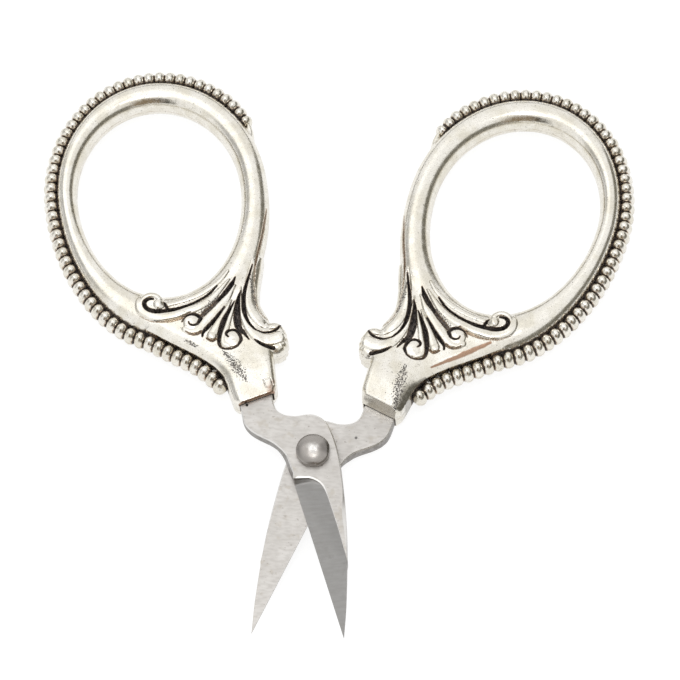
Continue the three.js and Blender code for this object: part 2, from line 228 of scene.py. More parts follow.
def oval_distance(oval, x, y):
    """Distance outside an oval of two half ellipses."""
    tall = np.where(y > RING_Y, oval["above"], oval["below"])
    u, v = (x - oval["x"]) / oval["half"], (y - RING_Y) / tall
    size = np.hypot(u, v) + 1e-9
    return (size - 1) * size / np.hypot(u / oval["half"], v / tall)


def blend(value, low, high):
    """A smooth step from 0 at low to 1 at high."""
    t = np.clip((value - low) / (high - low), 0, 1)
    return t * t * (3 - 2 * t)


def part_way(low, high, share):
    return low + (high - low) * share


def soft_union(a, b, width):
    h = np.maximum(width - np.abs(a - b), 0) / width
    return np.maximum(a, b) + h * h * width / 4


def line_distance(x, y, line):
    """Distance to a line, and the share of its length at the nearest point."""
    steps = np.diff(line, axis=0)
    runs = np.hypot(steps[:, 0], steps[:, 1])
    starts = np.concatenate([[0], np.cumsum(runs)])
    nearest = np.full(np.shape(x), np.inf)
    share = np.zeros(np.shape(x))
    for (ax, ay), (dx, dy), run, start in zip(line, steps, runs, starts):
        t = np.clip(((x - ax) * dx + (y - ay) * dy) / (run * run + 1e-12), 0, 1)
        d = np.hypot(x - ax - t * dx, y - ay - t * dy)
        closer = d < nearest
        nearest = np.where(closer, d, nearest)
        share = np.where(closer, (start + t * run) / starts[-1], share)
    return nearest, share


def inside(x, y, outline):
    """Which points lie inside a closed outline."""
    odd = np.zeros(np.shape(x), bool)
    for (ax, ay), (bx, by) in zip(outline, np.roll(outline, -1, axis=0)):
        crosses = (ay > y) != (by > y)
        odd ^= crosses & (x < ax + (bx - ax) * (y - ay) / (by - ay + 1e-12))
    return odd


class Plan:
    """A fine raster over the handle's plan, for fields that are slow to work out at every point."""

    def __init__(self):
        self.x = np.arange(PLAN_LOW[0], PLAN_HIGH[0], PLAN_STEP)
        self.y = np.arange(PLAN_LOW[1], PLAN_HIGH[1], PLAN_STEP)

    def blank(self):
        return np.zeros((len(self.x), len(self.y)))

    def near(self, line, reach):
        """The window round a line, and its points."""
        low, high = line.min(0) - reach, line.max(0) + reach
        i = slice(*np.searchsorted(self.x, (low[0], high[0])))
        j = slice(*np.searchsorted(self.y, (low[1], high[1])))
        x, y = np.meshgrid(self.x[i], self.y[j], indexing="ij")
        return (i, j), x, y

    def sample(self, field, x, y):
        u = np.clip((x - PLAN_LOW[0]) / PLAN_STEP, 0, len(self.x) - 1.001)
        v = np.clip((y - PLAN_LOW[1]) / PLAN_STEP, 0, len(self.y) - 1.001)
        i, j = u.astype(int), v.astype(int)
        u, v = u - i, v - j
        low = field[i, j] * (1 - v) + field[i, j + 1] * v
        high = field[i + 1, j] * (1 - v) + field[i + 1, j + 1] * v
        return low * (1 - u) + high * u


plan = Plan()

# Scroll fan: the strands stand up, each as a path and its half widths along the path
STRANDS = [
    ([(-18.3, 28.6), (-16, 28.9), (-13.8, 29.4), (-11.6, 30.2), (-9.8, 31.2), (-8.45, 32.5)],
     [0.5, 0.6, 0.3]),
    ([(-8.4, 31), (-10, 29.5), (-11.6, 28.2), (-13.4, 27.3), (-15.4, 26.8), (-17.5, 26.55), (-19.8, 26.6),
      (-21.6, 27.1), (-22.6, 28), (-22.85, 29.2), (-22.3, 30.3), (-21.2, 30.75), (-20, 30.4),
      (-19.4, 29.6)],
     [0.2, 0.6, 0.75, 0.75, 0.65, 0.55]),
    ([(-7.6, 29.9), (-9.2, 27.8), (-10.9, 26.2), (-12.3, 25), (-13.5, 24), (-14.5, 23.3), (-15.6, 23.2),
      (-16.4, 23.8)], [0.15, 0.6, 0.8, 0.75, 0.5]),
    ([(-8.5, 27.4), (-9.6, 25.9), (-10.7, 24.4), (-11.7, 23), (-12.45, 21.95)], [0.1, 0.4, 0.6, 0.75]),
    ([(-7.9, 27.2), (-8.55, 25.8), (-9.3, 24.3), (-9.95, 22.8), (-10.65, 21.4), (-10.8, 20.4),
      (-10.1, 19.8)], [0.1, 0.35, 0.48, 0.5]),
    ([(-6.75, 29.4), (-7.1, 27.1), (-7.3, 24.9), (-7, 23.1), (-6.4, 21.7), (-5.6, 20.6), (-4.5, 19.9),
      (-3.4, 19.6), (-2.2, 19.8)], [0.1, 0.25, 0.5, 0.9, 1]),
    ([(-4.1, 33.8), (-5, 31.1), (-5.5, 28.5), (-5.7, 26.2), (-5.35, 24.3), (-4.45, 22.9), (-3.2, 22.15),
      (-1.9, 22.1)], [0.4, 0.85, 0.9, 0.8]),
]
STRAND_RISE = 0.28
FULL_HALF_WIDTH = 0.2
RELIEF_STARTS = (0.8, 1.7)

# Round ends of the scrolls, as centre and radius
VOLUTES = [((-9.35, 20.75), 1.4), ((-15.2, 24.6), 1.35), ((-19.75, 28.75), 0.9), ((-12.45, 21.9), 0.75)]
VOLUTE_RISE = 0.36

# Grooves between the strands: path, half widths along it and depth
GROOVES = [
    ([(-10.4, 30.3), (-11.8, 29.15), (-13.3, 28.4), (-15.2, 27.8), (-17.2, 27.45), (-18.8, 27.45),
      (-20.2, 27.55), (-21.2, 27.9), (-21.8, 28.4), (-22.05, 29.1), (-21.8, 29.65), (-21.2, 29.9),
      (-20.55, 29.8)],
     [0.06, 0.2, 0.19, 0.2, 0.26, 0.38, 0.4, 0.4, 0.38, 0.32, 0.14], 0.85),
    ([(-7.35, 31.3), (-8.2, 30), (-9.3, 28.8), (-10.5, 27.8)], [0.06, 0.4, 0.45, 0.25], 0.85),
    ([(-10.2, 28.05), (-11.6, 26.9), (-12.8, 26.1), (-13.7, 25.4)], [0.3, 0.38, 0.45, 0.3], 0.36),
    ([(-9.75, 26.45), (-11.2, 24.9), (-12.55, 23.7), (-13.65, 22.75), (-13.9, 22.1)],
     [0.06, 0.22, 0.28, 0.3, 0.12], 0.75),
    ([(-8.1, 27.15), (-9.1, 25.7), (-10.3, 24), (-11.05, 22.3), (-11.45, 21)],
     [0.06, 0.24, 0.36, 0.4, 0.3], 0.8),
    ([(-11.45, 21), (-11.5, 20.2), (-11.05, 19.5), (-9.8, 19.15), (-8.7, 19.5)],
     [0.3, 0.2, 0.14, 0.14], 0.38),
    ([(-6.9, 28.7), (-7.5, 27.2), (-7.85, 25.6), (-8.15, 24), (-8.1, 22.6), (-7.6, 21.6)],
     [0.06, 0.32, 0.45, 0.6, 0.6, 0.3], 0.8),
    ([(-7.6, 21.9), (-7.2, 21), (-6.85, 20.3)], [0.3, 0.2, 0.08], 0.6),
    ([(-4.4, 33), (-5.3, 30.9), (-6.15, 28.9), (-6.7, 26.8), (-6.85, 24.9), (-6.5, 23.2), (-5.9, 22.1),
      (-5.5, 21.6)], [0.06, 0.28, 0.34, 0.12], 0.85),
    ([(-5.4, 21.6), (-4.6, 21.15), (-3.6, 20.95), (-2.7, 21.05), (-2, 21.45), (-1.6, 21.9)],
     [0.08, 0.15, 0.2, 0.2, 0.08], 0.6),
    ([(-6, 20), (-4.9, 18.95), (-4, 18.45), (-3.3, 18.15)], [0.06, 0.24, 0.3, 0.3], 0.75),
    ([(-13.95, 24.7), (-13.72, 25.2), (-14.3, 25.85), (-15.2, 26.05), (-16.1, 25.75), (-16.7, 25.1)],
     [0.25, 0.34, 0.28, 0.2, 0.12, 0.06], 0.6),
    ([(-13.95, 24.75), (-14.35, 24.25), (-15, 24.1), (-15.5, 24.35), (-15.65, 24.8)],
     [0.26, 0.18, 0.14, 0.08], 0.5),
    ([(-9.95, 21.15), (-10.2, 21.75), (-9.8, 22.2), (-9.1, 22.3), (-8.5, 22), (-8.15, 21.3)],
     [0.1, 0.2, 0.2, 0.24, 0.3], 0.6),
    ([(-8.15, 21.3), (-8.05, 20.4), (-8.6, 19.6)], [0.3, 0.24, 0.12], 0.55),
    ([(-18.95, 28.95), (-18.6, 27.8)], [0.14, 0.24], 0.8),
]

# Fine lines: path, half widths and depth
FINE_LINES = [
    ([(-0.7, 42.7), (-2.05, 38.25), (-3.25, 35.1), (-4.1, 32.4), (-4.5, 30.2)],
     [0.05, 0.18, 0.2, 0.12, 0.06], 0.3),
    ([(-4.5, 30.2), (-4.75, 28.6), (-4.9, 27), (-4.6, 25.1), (-3.9, 23.8), (-2.9, 23.1)],
     [0.06, 0.13, 0.08], 0.18),
    ([(-15.2, 26.3), (-16.3, 25.9), (-17.6, 25.65), (-19.1, 25.6), (-21.2, 26), (-23, 27.3)],
     [0.3, 0.3, 0.24, 0.14, 0.08, 0.06], 0.2),
    ([(-16.3, 23.3), (-15.6, 22.75), (-14.6, 22.65), (-14, 22.9)], [0.1, 0.18, 0.2], 0.3),
    ([(-13.3, 21.7), (-12.95, 21.3), (-12.4, 21.05), (-11.8, 21.3)], [0.14, 0.2, 0.16], 0.28),
]

# Thin rib left standing in the widest groove
RIB = ([(-7.7, 26.6), (-8, 25), (-8.15, 23.3)], [0.08, 0.16, 0.14], 0.5)

# Square stake mark by the front mouth, across and along the socket: its line, half width and area
STAKE_MARK = [(2, 0.5), (2, 1.7), (2.1, 1.8), (3, 1.8), (3.1, 1.7), (3.1, 0.5)]
STAKE_LINE = 0.14
STAKE_MIDDLE = (2.55, 1.1)
STAKE_HALF = (0.8, 0.9)

# Oxide in the grooves and in the channel beside the beads, and painted shade in the gap round the tang
STAIN_REACH = 0.1
BLACK_DEPTH = 0.5
GROOVES_START = (0.9, 1.5)
CHANNEL_REACH = 0.85
CHANNEL_WIDER = 0.4
CHANNEL_NARROWS = (4, 9)
CHANNEL_EDGE = 0.35
CHANNEL_TOP = (1.6, 2.2)
TAIL_CLEAR = (-0.2, 0.1)
GAP_PAINTED_SHADE = 0.8
GAP_DEPTH = (-0.1, -0.02)

# Oxide in the beads' gaps, off the body and beside it: where it starts and ends, high and low on the ring
BEAD_STAIN = [((0.39, 0.37), (0.48, 0.46)), ((0.8, 1.7), (1.5, 2.4)), ((0, 0.05), (0.16, 0.32))]
UP_RING = (34, 56)
UP_RING_LESS = 0.6

# Scuffed trails: path and half widths along it
SCUFFS = [
    ([(-10.6, 28), (-12, 26.9), (-13.4, 26)], [0.6, 0.9, 0.7]),
    ([(-5, 31.5), (-5.1, 28), (-4.9, 26)], [0.3, 0.5, 0.3]),
]
LEFT_SCUFFS = [
    ([(-11.2, 19), (-10.4, 17.9), (-9.6, 16.2), (-8.8, 14.4), (-8.3, 13.2)], [0.4, 1, 1.5, 1.3, 0.5]),
    ([(-16.6, 22), (-15.8, 21.3), (-15, 20.6)], [0.4, 0.6, 0.4]),
]
RIGHT_SCUFFS = [
    ([(-9, 17.6), (-9.2, 15.9), (-9.2, 14), (-9.5, 12), (-9.8, 10.4)], [0.5, 1.3, 1.4, 1.1, 0.5]),
    ([(-24, 60.6), (-23.6, 60.2)], [0.6, 0.55]),
]

# Trails on the right handle: plate worn through to copper, and grey on the flank above the beads, painted
# as a dark reflection
WORN_TRAIL = ([(-20.4, 25.3), (-18.3, 23.4), (-16.5, 21.75), (-14.75, 20.25), (-12.95, 18.65)],
              [0.35, 0.6, 0.6, 0.4, 0.25])
FLANK_REFLECTION_TRAIL = ([(-12.6, 16.8), (-11.5, 14.9), (-10.9, 12.8), (-10.4, 10.6)], [0.3, 0.8, 0.9, 0.5])
LEAST_WEAR = 0.02
MARKS_ABOVE = 1

# Brown on the socket's mouth, painted as a reflection, and brown tint on the lobe beside the stake mark
LIP_PAINTED_REFLECTION = 0.72
LOBE_TINT = 0.42
LIP_ENDS = (-0.5, -0.35)
LOBE_ACROSS = (1.3, 2.2)
LOBE_ALONG = (1.2, 2.1)
TINT_HEIGHT = (1.6, 2.3)


def width_along(share, halves):
    """Half width at a share of a path's length."""
    return np.interp(share, np.linspace(0, 1, len(halves)), halves)


def stamp(field, path, halves, height, profile):
    """Raises a field along a path, to a height that dies away at the path's half width."""
    line = smooth_line(path)
    where, x, y = plan.near(line, max(halves) + PLAN_STEP)
    distance, share = line_distance(x, y, line)
    half = width_along(share, halves)
    u = np.clip(distance / half, 0, 1)
    field[where] = np.maximum(field[where], height * np.minimum(1, half / FULL_HALF_WIDTH) * profile(u))


def round_top(u):
    return np.sqrt(1 - u * u)


def round_bottom(u):
    return (1 - u * u) ** 1.5


def bead_route():
    """Line through the bead centres, from the ring's top, round the outside and down to the socket."""
    turns = np.arange(BEADS_FROM, BEADS_LEAVE_RIM + 1, 5)
    sunk = BEADS_SUNK * (1 - blend(turns, BEADS_FROM, BEADS_FROM + BEADS_RISE_OVER))
    rim = [oval_point(RIM, turn, BEAD_STANDOFF - sink) for turn, sink in zip(turns, sunk)]
    return smooth_line(rim + BEADS_BELOW)


def stamped_maps():
    """The relief of the scrolls, the depth of dark recesses and the stake mark."""
    ridge, cut, dark, rib, stake = (plan.blank() for _ in range(5))
    for path, halves in STRANDS:
        stamp(ridge, path, halves, STRAND_RISE, round_top)
    for centre, radius in VOLUTES:
        stamp(ridge, [centre, (centre[0] + 0.01, centre[1])], [radius], VOLUTE_RISE, round_top)
    for path, halves, depth in GROOVES + FINE_LINES:
        stamp(cut, path, halves, depth, round_bottom)
        stamp(dark, path, np.array(halves) + STAIN_REACH, depth, round_bottom)
    stamp(rib, *RIB, round_top)
    stamp(stake, [socket_point(*corner) for corner in STAKE_MARK], [STAKE_LINE], STAKE_LINE, round_bottom)
    return {"relief": ridge - (cut - rib), "dark": dark - rib, "stake": stake}


def plan_maps():
    """The stamped maps, the distance inside the neck's edge, to the beads and inside their plain tail."""
    past_mouth = [socket_point(side * SOCKET_HALF_WIDTH, -NECK_PAST_MOUTH) for side in (1, -1)]
    left, right = smooth_line(NECK_LEFT, 4), smooth_line(NECK_RIGHT, 4)
    outline = np.vstack([left, NECK_INSIDE_RING, right, past_mouth])
    x, y = np.meshgrid(plan.x, plan.y, indexing="ij")
    edge = line_distance(x, y, np.vstack([outline, outline[:1]]))[0]
    path, halves = BEAD_TAIL
    away, share = line_distance(x, y, smooth_line(path))
    return {
        **stamped_maps(),
        "neck": np.where(inside(x, y, outline), edge, -edge),
        "beads": line_distance(x, y, bead_route()[::2])[0],
        "tail": width_along(share, halves) - away,
    }


maps = plan_maps()


def slab(edge, up, height, across, down, power=2):
    """A flat form with a rounded edge, from the distance inside its outline."""
    u = np.maximum(across - edge, 0) / across
    v = np.maximum(up - (height - down), 0) / down
    return (1 - (u ** power + v ** power + 1e-12) ** (1 / power)) * np.minimum(across, down)


def plan_fields(x, y):
    """What the casting needs to know of each plan point."""
    fields = {name: plan.sample(field, x, y) for name, field in maps.items()}
    fields["hole"] = oval_distance(HOLE, x, y)
    fields["rim"] = -oval_distance(RIM, x, y)
    fields["across"], fields["along"] = socket_place(x, y)
    across, along = x - KNOB["x"], (y - KNOB["y"]) * KNOB["half"] / KNOB["long"]
    turn = np.arctan2(along, across)
    fluted = 1 - blend(np.abs(turn - FLUTES_FACE), *FLUTES_SPREAD)
    flutes = KNOB["flute"] * np.cos(KNOB["flutes"] * turn) * fluted
    fields["knob"] = KNOB["half"] - flutes - np.hypot(across, along)
    fields["coil"] = COIL["radius"] - np.hypot(x - COIL["x"], y - COIL["y"])
    return fields


def pocket(at, z):
    """The tang's pocket, positive inside, with a narrower lip at the mouth."""
    lip = MOUTH_LIP * (1 - blend(at["along"], *LIP_FADES))
    wide = POCKET_HALF_WIDTH - lip - np.abs(at["across"])
    tall = np.minimum(z - POCKET_LOW, POCKET_HIGH - z) - lip
    return np.minimum(np.minimum(wide, tall), POCKET_DEPTH - at["along"])


def neck_slab(at, up, z):
    """Neck and socket: chamfered beside the beads, softer on the socket's front, rounded elsewhere."""
    socket = 1 - blend(at["along"], *SOCKET_FADES)
    top = part_way(RING_HALF_HEIGHT, SOCKET_HALF_HEIGHT, socket)
    beside_beads = 1 - blend(at["beads"], *FLANK_FADES)
    flank = np.maximum(beside_beads, socket * (1 - blend(at["across"], *FLANK_ACROSS)))
    rounded = [part_way(*pair, socket) for pair in zip(NECK_ROUND, SOCKET_ROUND)]
    chamfered = [part_way(*pair, socket) for pair in zip(NECK_CHAMFER, SOCKET_CHAMFER)]
    across, down = (part_way(*pair, flank) for pair in zip(rounded, chamfered))
    crisp = CRISP_FLANK * flank * (1 - SOFT_FRONT * socket * blend(z, *FRONT_STARTS))
    return slab(at["neck"], up, top, across, down, 2 - crisp)


def casting(at, z):
    """The handle as a field that is positive inside the metal."""
    up = np.abs(z)
    up = up - at["relief"] * blend(up, *RELIEF_STARTS) + at["stake"] * (z > 0)
    width = at["hole"] + at["rim"]
    off = np.abs(at["hole"] - at["rim"]) / width
    size = (off ** RING_SQUARE + (np.maximum(up, 0) / RING_HALF_HEIGHT) ** RING_SQUARE) ** (1 / RING_SQUARE)
    body = (1 - size) * np.minimum(width / 2, RING_HALF_HEIGHT)
    body = soft_union(body, neck_slab(at, up, z), NECK_JOINS)
    for name, (height, across, down, joins) in FORMS.items():
        body = soft_union(body, slab(at[name], up, height, across, down), joins)
    half, height, rounding = BEAD_WIRE
    body = np.maximum(body, slab(half - at["beads"], up, height, rounding, rounding))
    nose = MOUTH_NOSE * (1 - blend(-z, *NOSE_FADES))
    mouth_edge = MOUTH_ROUND + blend(np.abs(at["across"]), *MOUTH_CORNERS)
    body = -soft_union(-body, -at["along"] - nose, mouth_edge)
    return np.minimum(body, -pocket(at, z))


def skin(field, low, step):
    """A quad skin where a raster of values changes sign, one point for each cell that it crosses."""
    full = field > 0
    cells = tuple(n - 1 for n in field.shape)
    corners = list(product((0, 1), repeat=3))
    count = np.zeros(cells, np.int8)
    for i, j, k in corners:
        count += full[i:cells[0] + i, j:cells[1] + j, k:cells[2] + k]
    crossed = np.argwhere((count > 0) & (count < 8))
    number = np.full(cells, -1, np.int32)
    number[tuple(crossed.T)] = np.arange(len(crossed))
    total = np.zeros((len(crossed), 3))
    hits = np.zeros((len(crossed), 1))
    for a, b in product(corners, corners):
        if sum(abs(p - q) for p, q in zip(a, b)) != 1 or a > b:
            continue
        va = field[tuple((crossed + a).T)]
        vb = field[tuple((crossed + b).T)]
        cut = (va > 0) != (vb > 0)
        t = np.where(cut, va / np.where(cut, va - vb, 1), 0)[:, None]
        total += np.where(cut[:, None], np.array(a) + t * (np.array(b) - a), 0)
        hits += cut[:, None]
    points = np.array(low) + step * (crossed + total / hits)
    quads = []
    for axis in range(3):
        near, far = [slice(None)] * 3, [slice(None)] * 3
        near[axis], far[axis] = slice(None, -1), slice(1, None)
        a, b = full[tuple(near)], full[tuple(far)]
        for rising in (True, False):
            at = np.argwhere((a < b) if rising else (a > b))
            ring = [at.copy() for _ in range(4)]
            p, q = [n for n in range(3) if n != axis]
            ring[1][:, p] -= 1
            ring[2][:, [p, q]] -= 1
            ring[3][:, q] -= 1
            corners_of = np.stack([number[tuple(r.T)] for r in ring], axis=1)
            outward = rising == (axis == 1)
            quads.append(corners_of if outward else corners_of[:, ::-1])
    return points, np.vstack(quads)


def slope_at(points):
    """The casting's field at each point, and the way that it rises."""
    reach = 0.02
    x, y, z = points.T
    here = plan_fields(x, y)
    slope = np.stack([
        casting(plan_fields(x + reach, y), z) - casting(plan_fields(x - reach, y), z),
        casting(plan_fields(x, y + reach), z) - casting(plan_fields(x, y - reach), z),
        casting(here, z + reach) - casting(here, z - reach),
    ], axis=1) / (2 * reach)
    return casting(here, z), slope


def settle(points):
    """Moves points on to the casting's surface."""
    for _ in range(SETTLE_ROUNDS):
        value, slope = slope_at(points)
        move = -value[:, None] * slope / (np.sum(slope * slope, axis=1)[:, None] + SETTLE_DAMPING)
        points = points + np.clip(move, -SKIN_STEP / 2, SKIN_STEP / 2)
    return points


def wear(points, trails):
    """How strongly each point shows a set of worn trails."""
    field = plan.blank()
    for path, halves in trails:
        stamp(field, path, halves, 1, round_bottom)
    return plan.sample(field, points[:, 0], points[:, 1])


def carries_marks(points):
    """True where worn trails or the stake mark need the full skin."""
    place = np.stack(socket_place(points[:, 0], points[:, 1]), axis=1)
    staked = np.all(np.abs(place - STAKE_MIDDLE) < STAKE_HALF, axis=1)
    trails = SCUFFS + LEFT_SCUFFS + RIGHT_SCUFFS + [WORN_TRAIL, FLANK_REFLECTION_TRAIL]
    return ((wear(points, trails) > LEAST_WEAR) | staked) & (np.abs(points[:, 2]) > MARKS_ABOVE)


def mesh_of(name, points, faces, edges=None):
    mesh = bpy.data.meshes.new(name)
    mesh.from_pydata(points, edges or [], faces)
    return mesh


def add_piece(name, data, material=None):
    piece = bpy.data.objects.new(name, data)
    scene.collection.objects.link(piece)
    if material:
        data.materials.clear()
        data.materials.append(material)
    return piece


def baked(piece):
    """The piece's mesh with its modifiers applied."""
    graph = bpy.context.evaluated_depsgraph_get()
    return bpy.data.meshes.new_from_object(piece.evaluated_get(graph), depsgraph=graph)


def places_of(mesh):
    places = np.zeros(len(mesh.vertices) * 3)
    mesh.vertices.foreach_get("co", places)
    return places.reshape(-1, 3)


def add_layer(mesh, label, values, domain="POINT"):
    layer = mesh.attributes.new(label, "FLOAT", domain)
    layer.data.foreach_set("value", np.ascontiguousarray(values, np.float32))


def thinned(points, quads):
    """The skin with fewer faces where it is smooth and plain."""
    piece = add_piece("full_skin", mesh_of("full_skin", points, quads))
    plain = piece.vertex_groups.new(name="plain")
    plain.add(np.flatnonzero(~carries_marks(points)).tolist(), 1, "REPLACE")
    fewer = piece.modifiers.new("fewer_faces", "DECIMATE")
    fewer.ratio = MOST_TRIANGLES / (2 * len(quads))
    fewer.use_collapse_triangulate = True
    fewer.vertex_group = plain.name
    thin = baked(piece)
    bpy.data.objects.remove(piece)
    corners = np.zeros(len(thin.polygons) * 3, np.int32)
    thin.polygons.foreach_get("vertices", corners)
    return places_of(thin), corners.reshape(-1, 3)


def handle_skin():
    """Points, triangles and outward normals of the casting."""
    x = np.arange(PLAN_LOW[0] + SKIN_INSET, PLAN_HIGH[0], SKIN_STEP)
    y = np.arange(PLAN_LOW[1] + SKIN_INSET, PLAN_HIGH[1], SKIN_STEP)
    z = np.arange(-SKIN_TOP, SKIN_TOP, SKIN_STEP)
    at = plan_fields(*np.meshgrid(x, y, indexing="ij"))
    field = np.stack([casting(at, level) for level in z], axis=2)
    points, quads = skin(field, (x[0], y[0], z[0]), SKIN_STEP)
    points, triangles = thinned(settle(points), quads)
    points = settle(points)
    rise = slope_at(points)[1]
    return points, triangles, -rise / np.linalg.norm(rise, axis=1)[:, None]


def recess_depth(points):
    """How dark each point is: oxide in the grooves and beside the beads, and painted shade in the gap round
    the tang.
    """
    at = plan_fields(points[:, 0], points[:, 1])
    rise = np.abs(points[:, 2])
    grooves = np.clip(at["dark"] / BLACK_DEPTH, 0, 1) * blend(rise, *GROOVES_START)
    reach = CHANNEL_REACH + CHANNEL_WIDER * (1 - blend(at["along"], *CHANNEL_NARROWS))
    channel = (1 - blend(at["beads"], reach, reach + CHANNEL_EDGE)) * (1 - blend(rise, *CHANNEL_TOP))
    channel *= 1 - blend(at["tail"], *TAIL_CLEAR)
    # Painted shade inside the tang's pocket
    gap = GAP_PAINTED_SHADE * blend(pocket(at, points[:, 2]), *GAP_DEPTH)
    return np.maximum(np.maximum(grooves, channel), gap)


def placement(front):
    """From a half's own millimetres to the row frame at rest."""
    turn = Matrix.Rotation(REST_HALF_ANGLE if front else -REST_HALF_ANGLE, 4, "Z")
    if not front:
        turn = turn @ Matrix.Rotation(math.pi, 4, "Y")
    return Matrix.Translation((0, 0, MEETING_PLANE)) @ turn @ Matrix.Scale(MM, 4)


def stand_for(node, name, mesh, material, body):
    """Adds a piece that stands for a CAD node and moves with its body."""
    piece = add_piece(name, mesh, material)
    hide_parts(node)
    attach(piece, body)


# Node trees and materials

class Nodes:
    """A node tree, and short ways to add to it."""

    def __init__(self, tree):
        self.tree = tree

    def feed(self, socket, value):
        """Sets a socket to a value, or links it to the socket that feeds it."""
        if isinstance(value, bpy.types.NodeSocket):
            self.tree.links.new(value, socket)
        else:
            socket.default_value = value

    def add(self, kind, inputs=None, **settings):
        made = self.tree.nodes.new(kind)
        for key, value in settings.items():
            setattr(made, key, value)
        for key, value in (inputs or {}).items():
            self.feed(made.inputs[key], value)
        return made

    def out(self, kind, inputs=None, **settings):
        """The first output of a new node."""
        return self.add(kind, inputs, **settings).outputs[0]

    def ramp(self, value, low, high, to_low=0.0, to_high=1.0):
        inputs = {"Value": value, "From Min": low, "From Max": high, "To Min": to_low, "To Max": to_high}
        return self.add("ShaderNodeMapRange", inputs, interpolation_type="SMOOTHSTEP").outputs["Result"]

    def math(self, operation, a, b=0.0):
        return self.out("ShaderNodeMath", {0: a, 1: b}, operation=operation)

    def plus(self, a, b):
        return self.math("ADD", a, b)

    def times(self, a, b):
        return self.math("MULTIPLY", a, b)


class Finish(Nodes):
    """A new material, and the nodes of its surface."""

    def __init__(self, name):
        self.material = bpy.data.materials.new(name)
        self.material.use_nodes = True
        super().__init__(self.material.node_tree)
        self.shader = self.tree.nodes["Principled BSDF"]
        self.coords = self.add("ShaderNodeTexCoord").outputs["Object"]

    def mixed(self, share, a, b):
        """A colour between two colours."""
        return self.add("ShaderNodeMix", {0: share, 6: a, 7: b}, data_type="RGBA").outputs[2]

    def tinted(self, tone, colour, value, low, high, most=1.0):
        """A tone that goes towards a colour as a value rises."""
        return self.mixed(self.ramp(value, low, high, 0, most), tone, colour)

    def noise(self, scale, detail=3.0):
        inputs = {"Vector": self.coords, "Scale": scale, "Detail": detail}
        return self.out("ShaderNodeTexNoise", inputs)

    def drawn_noise(self, turn, scale, detail):
        """Noise turned and drawn out along one direction."""
        inputs = {"Vector": self.coords, "Rotation": (0, 0, turn), "Scale": scale}
        drawn = self.out("ShaderNodeMapping", inputs)
        return self.out("ShaderNodeTexNoise", {"Vector": drawn, "Scale": 1.0, "Detail": detail})

    def attribute(self, name):
        return self.add("ShaderNodeAttribute", attribute_name=name).outputs["Fac"]

    def measure(self, operation, place):
        """A vector measure of each point against a place or a direction."""
        inputs = {0: self.coords, 1: place}
        return self.add("ShaderNodeVectorMath", inputs, operation=operation).outputs["Value"]

    def bumped(self, height, strength, distance):
        bump = self.add("ShaderNodeBump", {"Strength": strength, "Distance": distance, "Height": height})
        self.feed(self.shader.inputs["Normal"], bump.outputs[0])

    def surface(self, inputs):
        """Sets the shader's inputs, and gives back the material."""
        for key, value in inputs.items():
            self.feed(self.shader.inputs[key], value)
        return self.material

    def show(self, node):
        """Shows another node than the shader, and gives back the material."""
        self.feed(self.tree.nodes["Material Output"].inputs["Surface"], node.outputs[0])
        return self.material


SILVER_BRIGHT = (0.9, 0.87, 0.8, 1)
SILVER_WARM = (0.78, 0.74, 0.64, 1)
SILVER_GREY = (0.52, 0.49, 0.43, 1)
COPPER_TINT = (0.36, 0.24, 0.14, 1)
# Worn-through copper, also used for the painted brown reflection on the front mouth
WORN_COPPER_AND_PAINTED_REFLECTION = (0.34, 0.205, 0.135, 1)
# Grey painted on the rear handle's flank as a dark reflection
PAINTED_DARK_REFLECTION = (0.2, 0.19, 0.17, 1)
# Near-black oxide, also used as painted shade in the gap round the tang
OXIDE_AND_SHADE = (0.026, 0.022, 0.021, 1)
DUSTY_OXIDE_AND_SHADE = (0.15, 0.125, 0.11, 1)


def parting_line(look):
    """A faint broken line where the two halves of the mould met."""
    level = look.add("ShaderNodeSeparateXYZ", {0: look.coords}).outputs[2]
    off = look.math("ABSOLUTE", look.math("SUBTRACT", level, MEETING_PLANE))
    line = look.ramp(off, 0.04 * MM, 0.11 * MM, 0.55, 0)
    return look.times(line, look.ramp(look.noise(700), 0.35, 0.55))


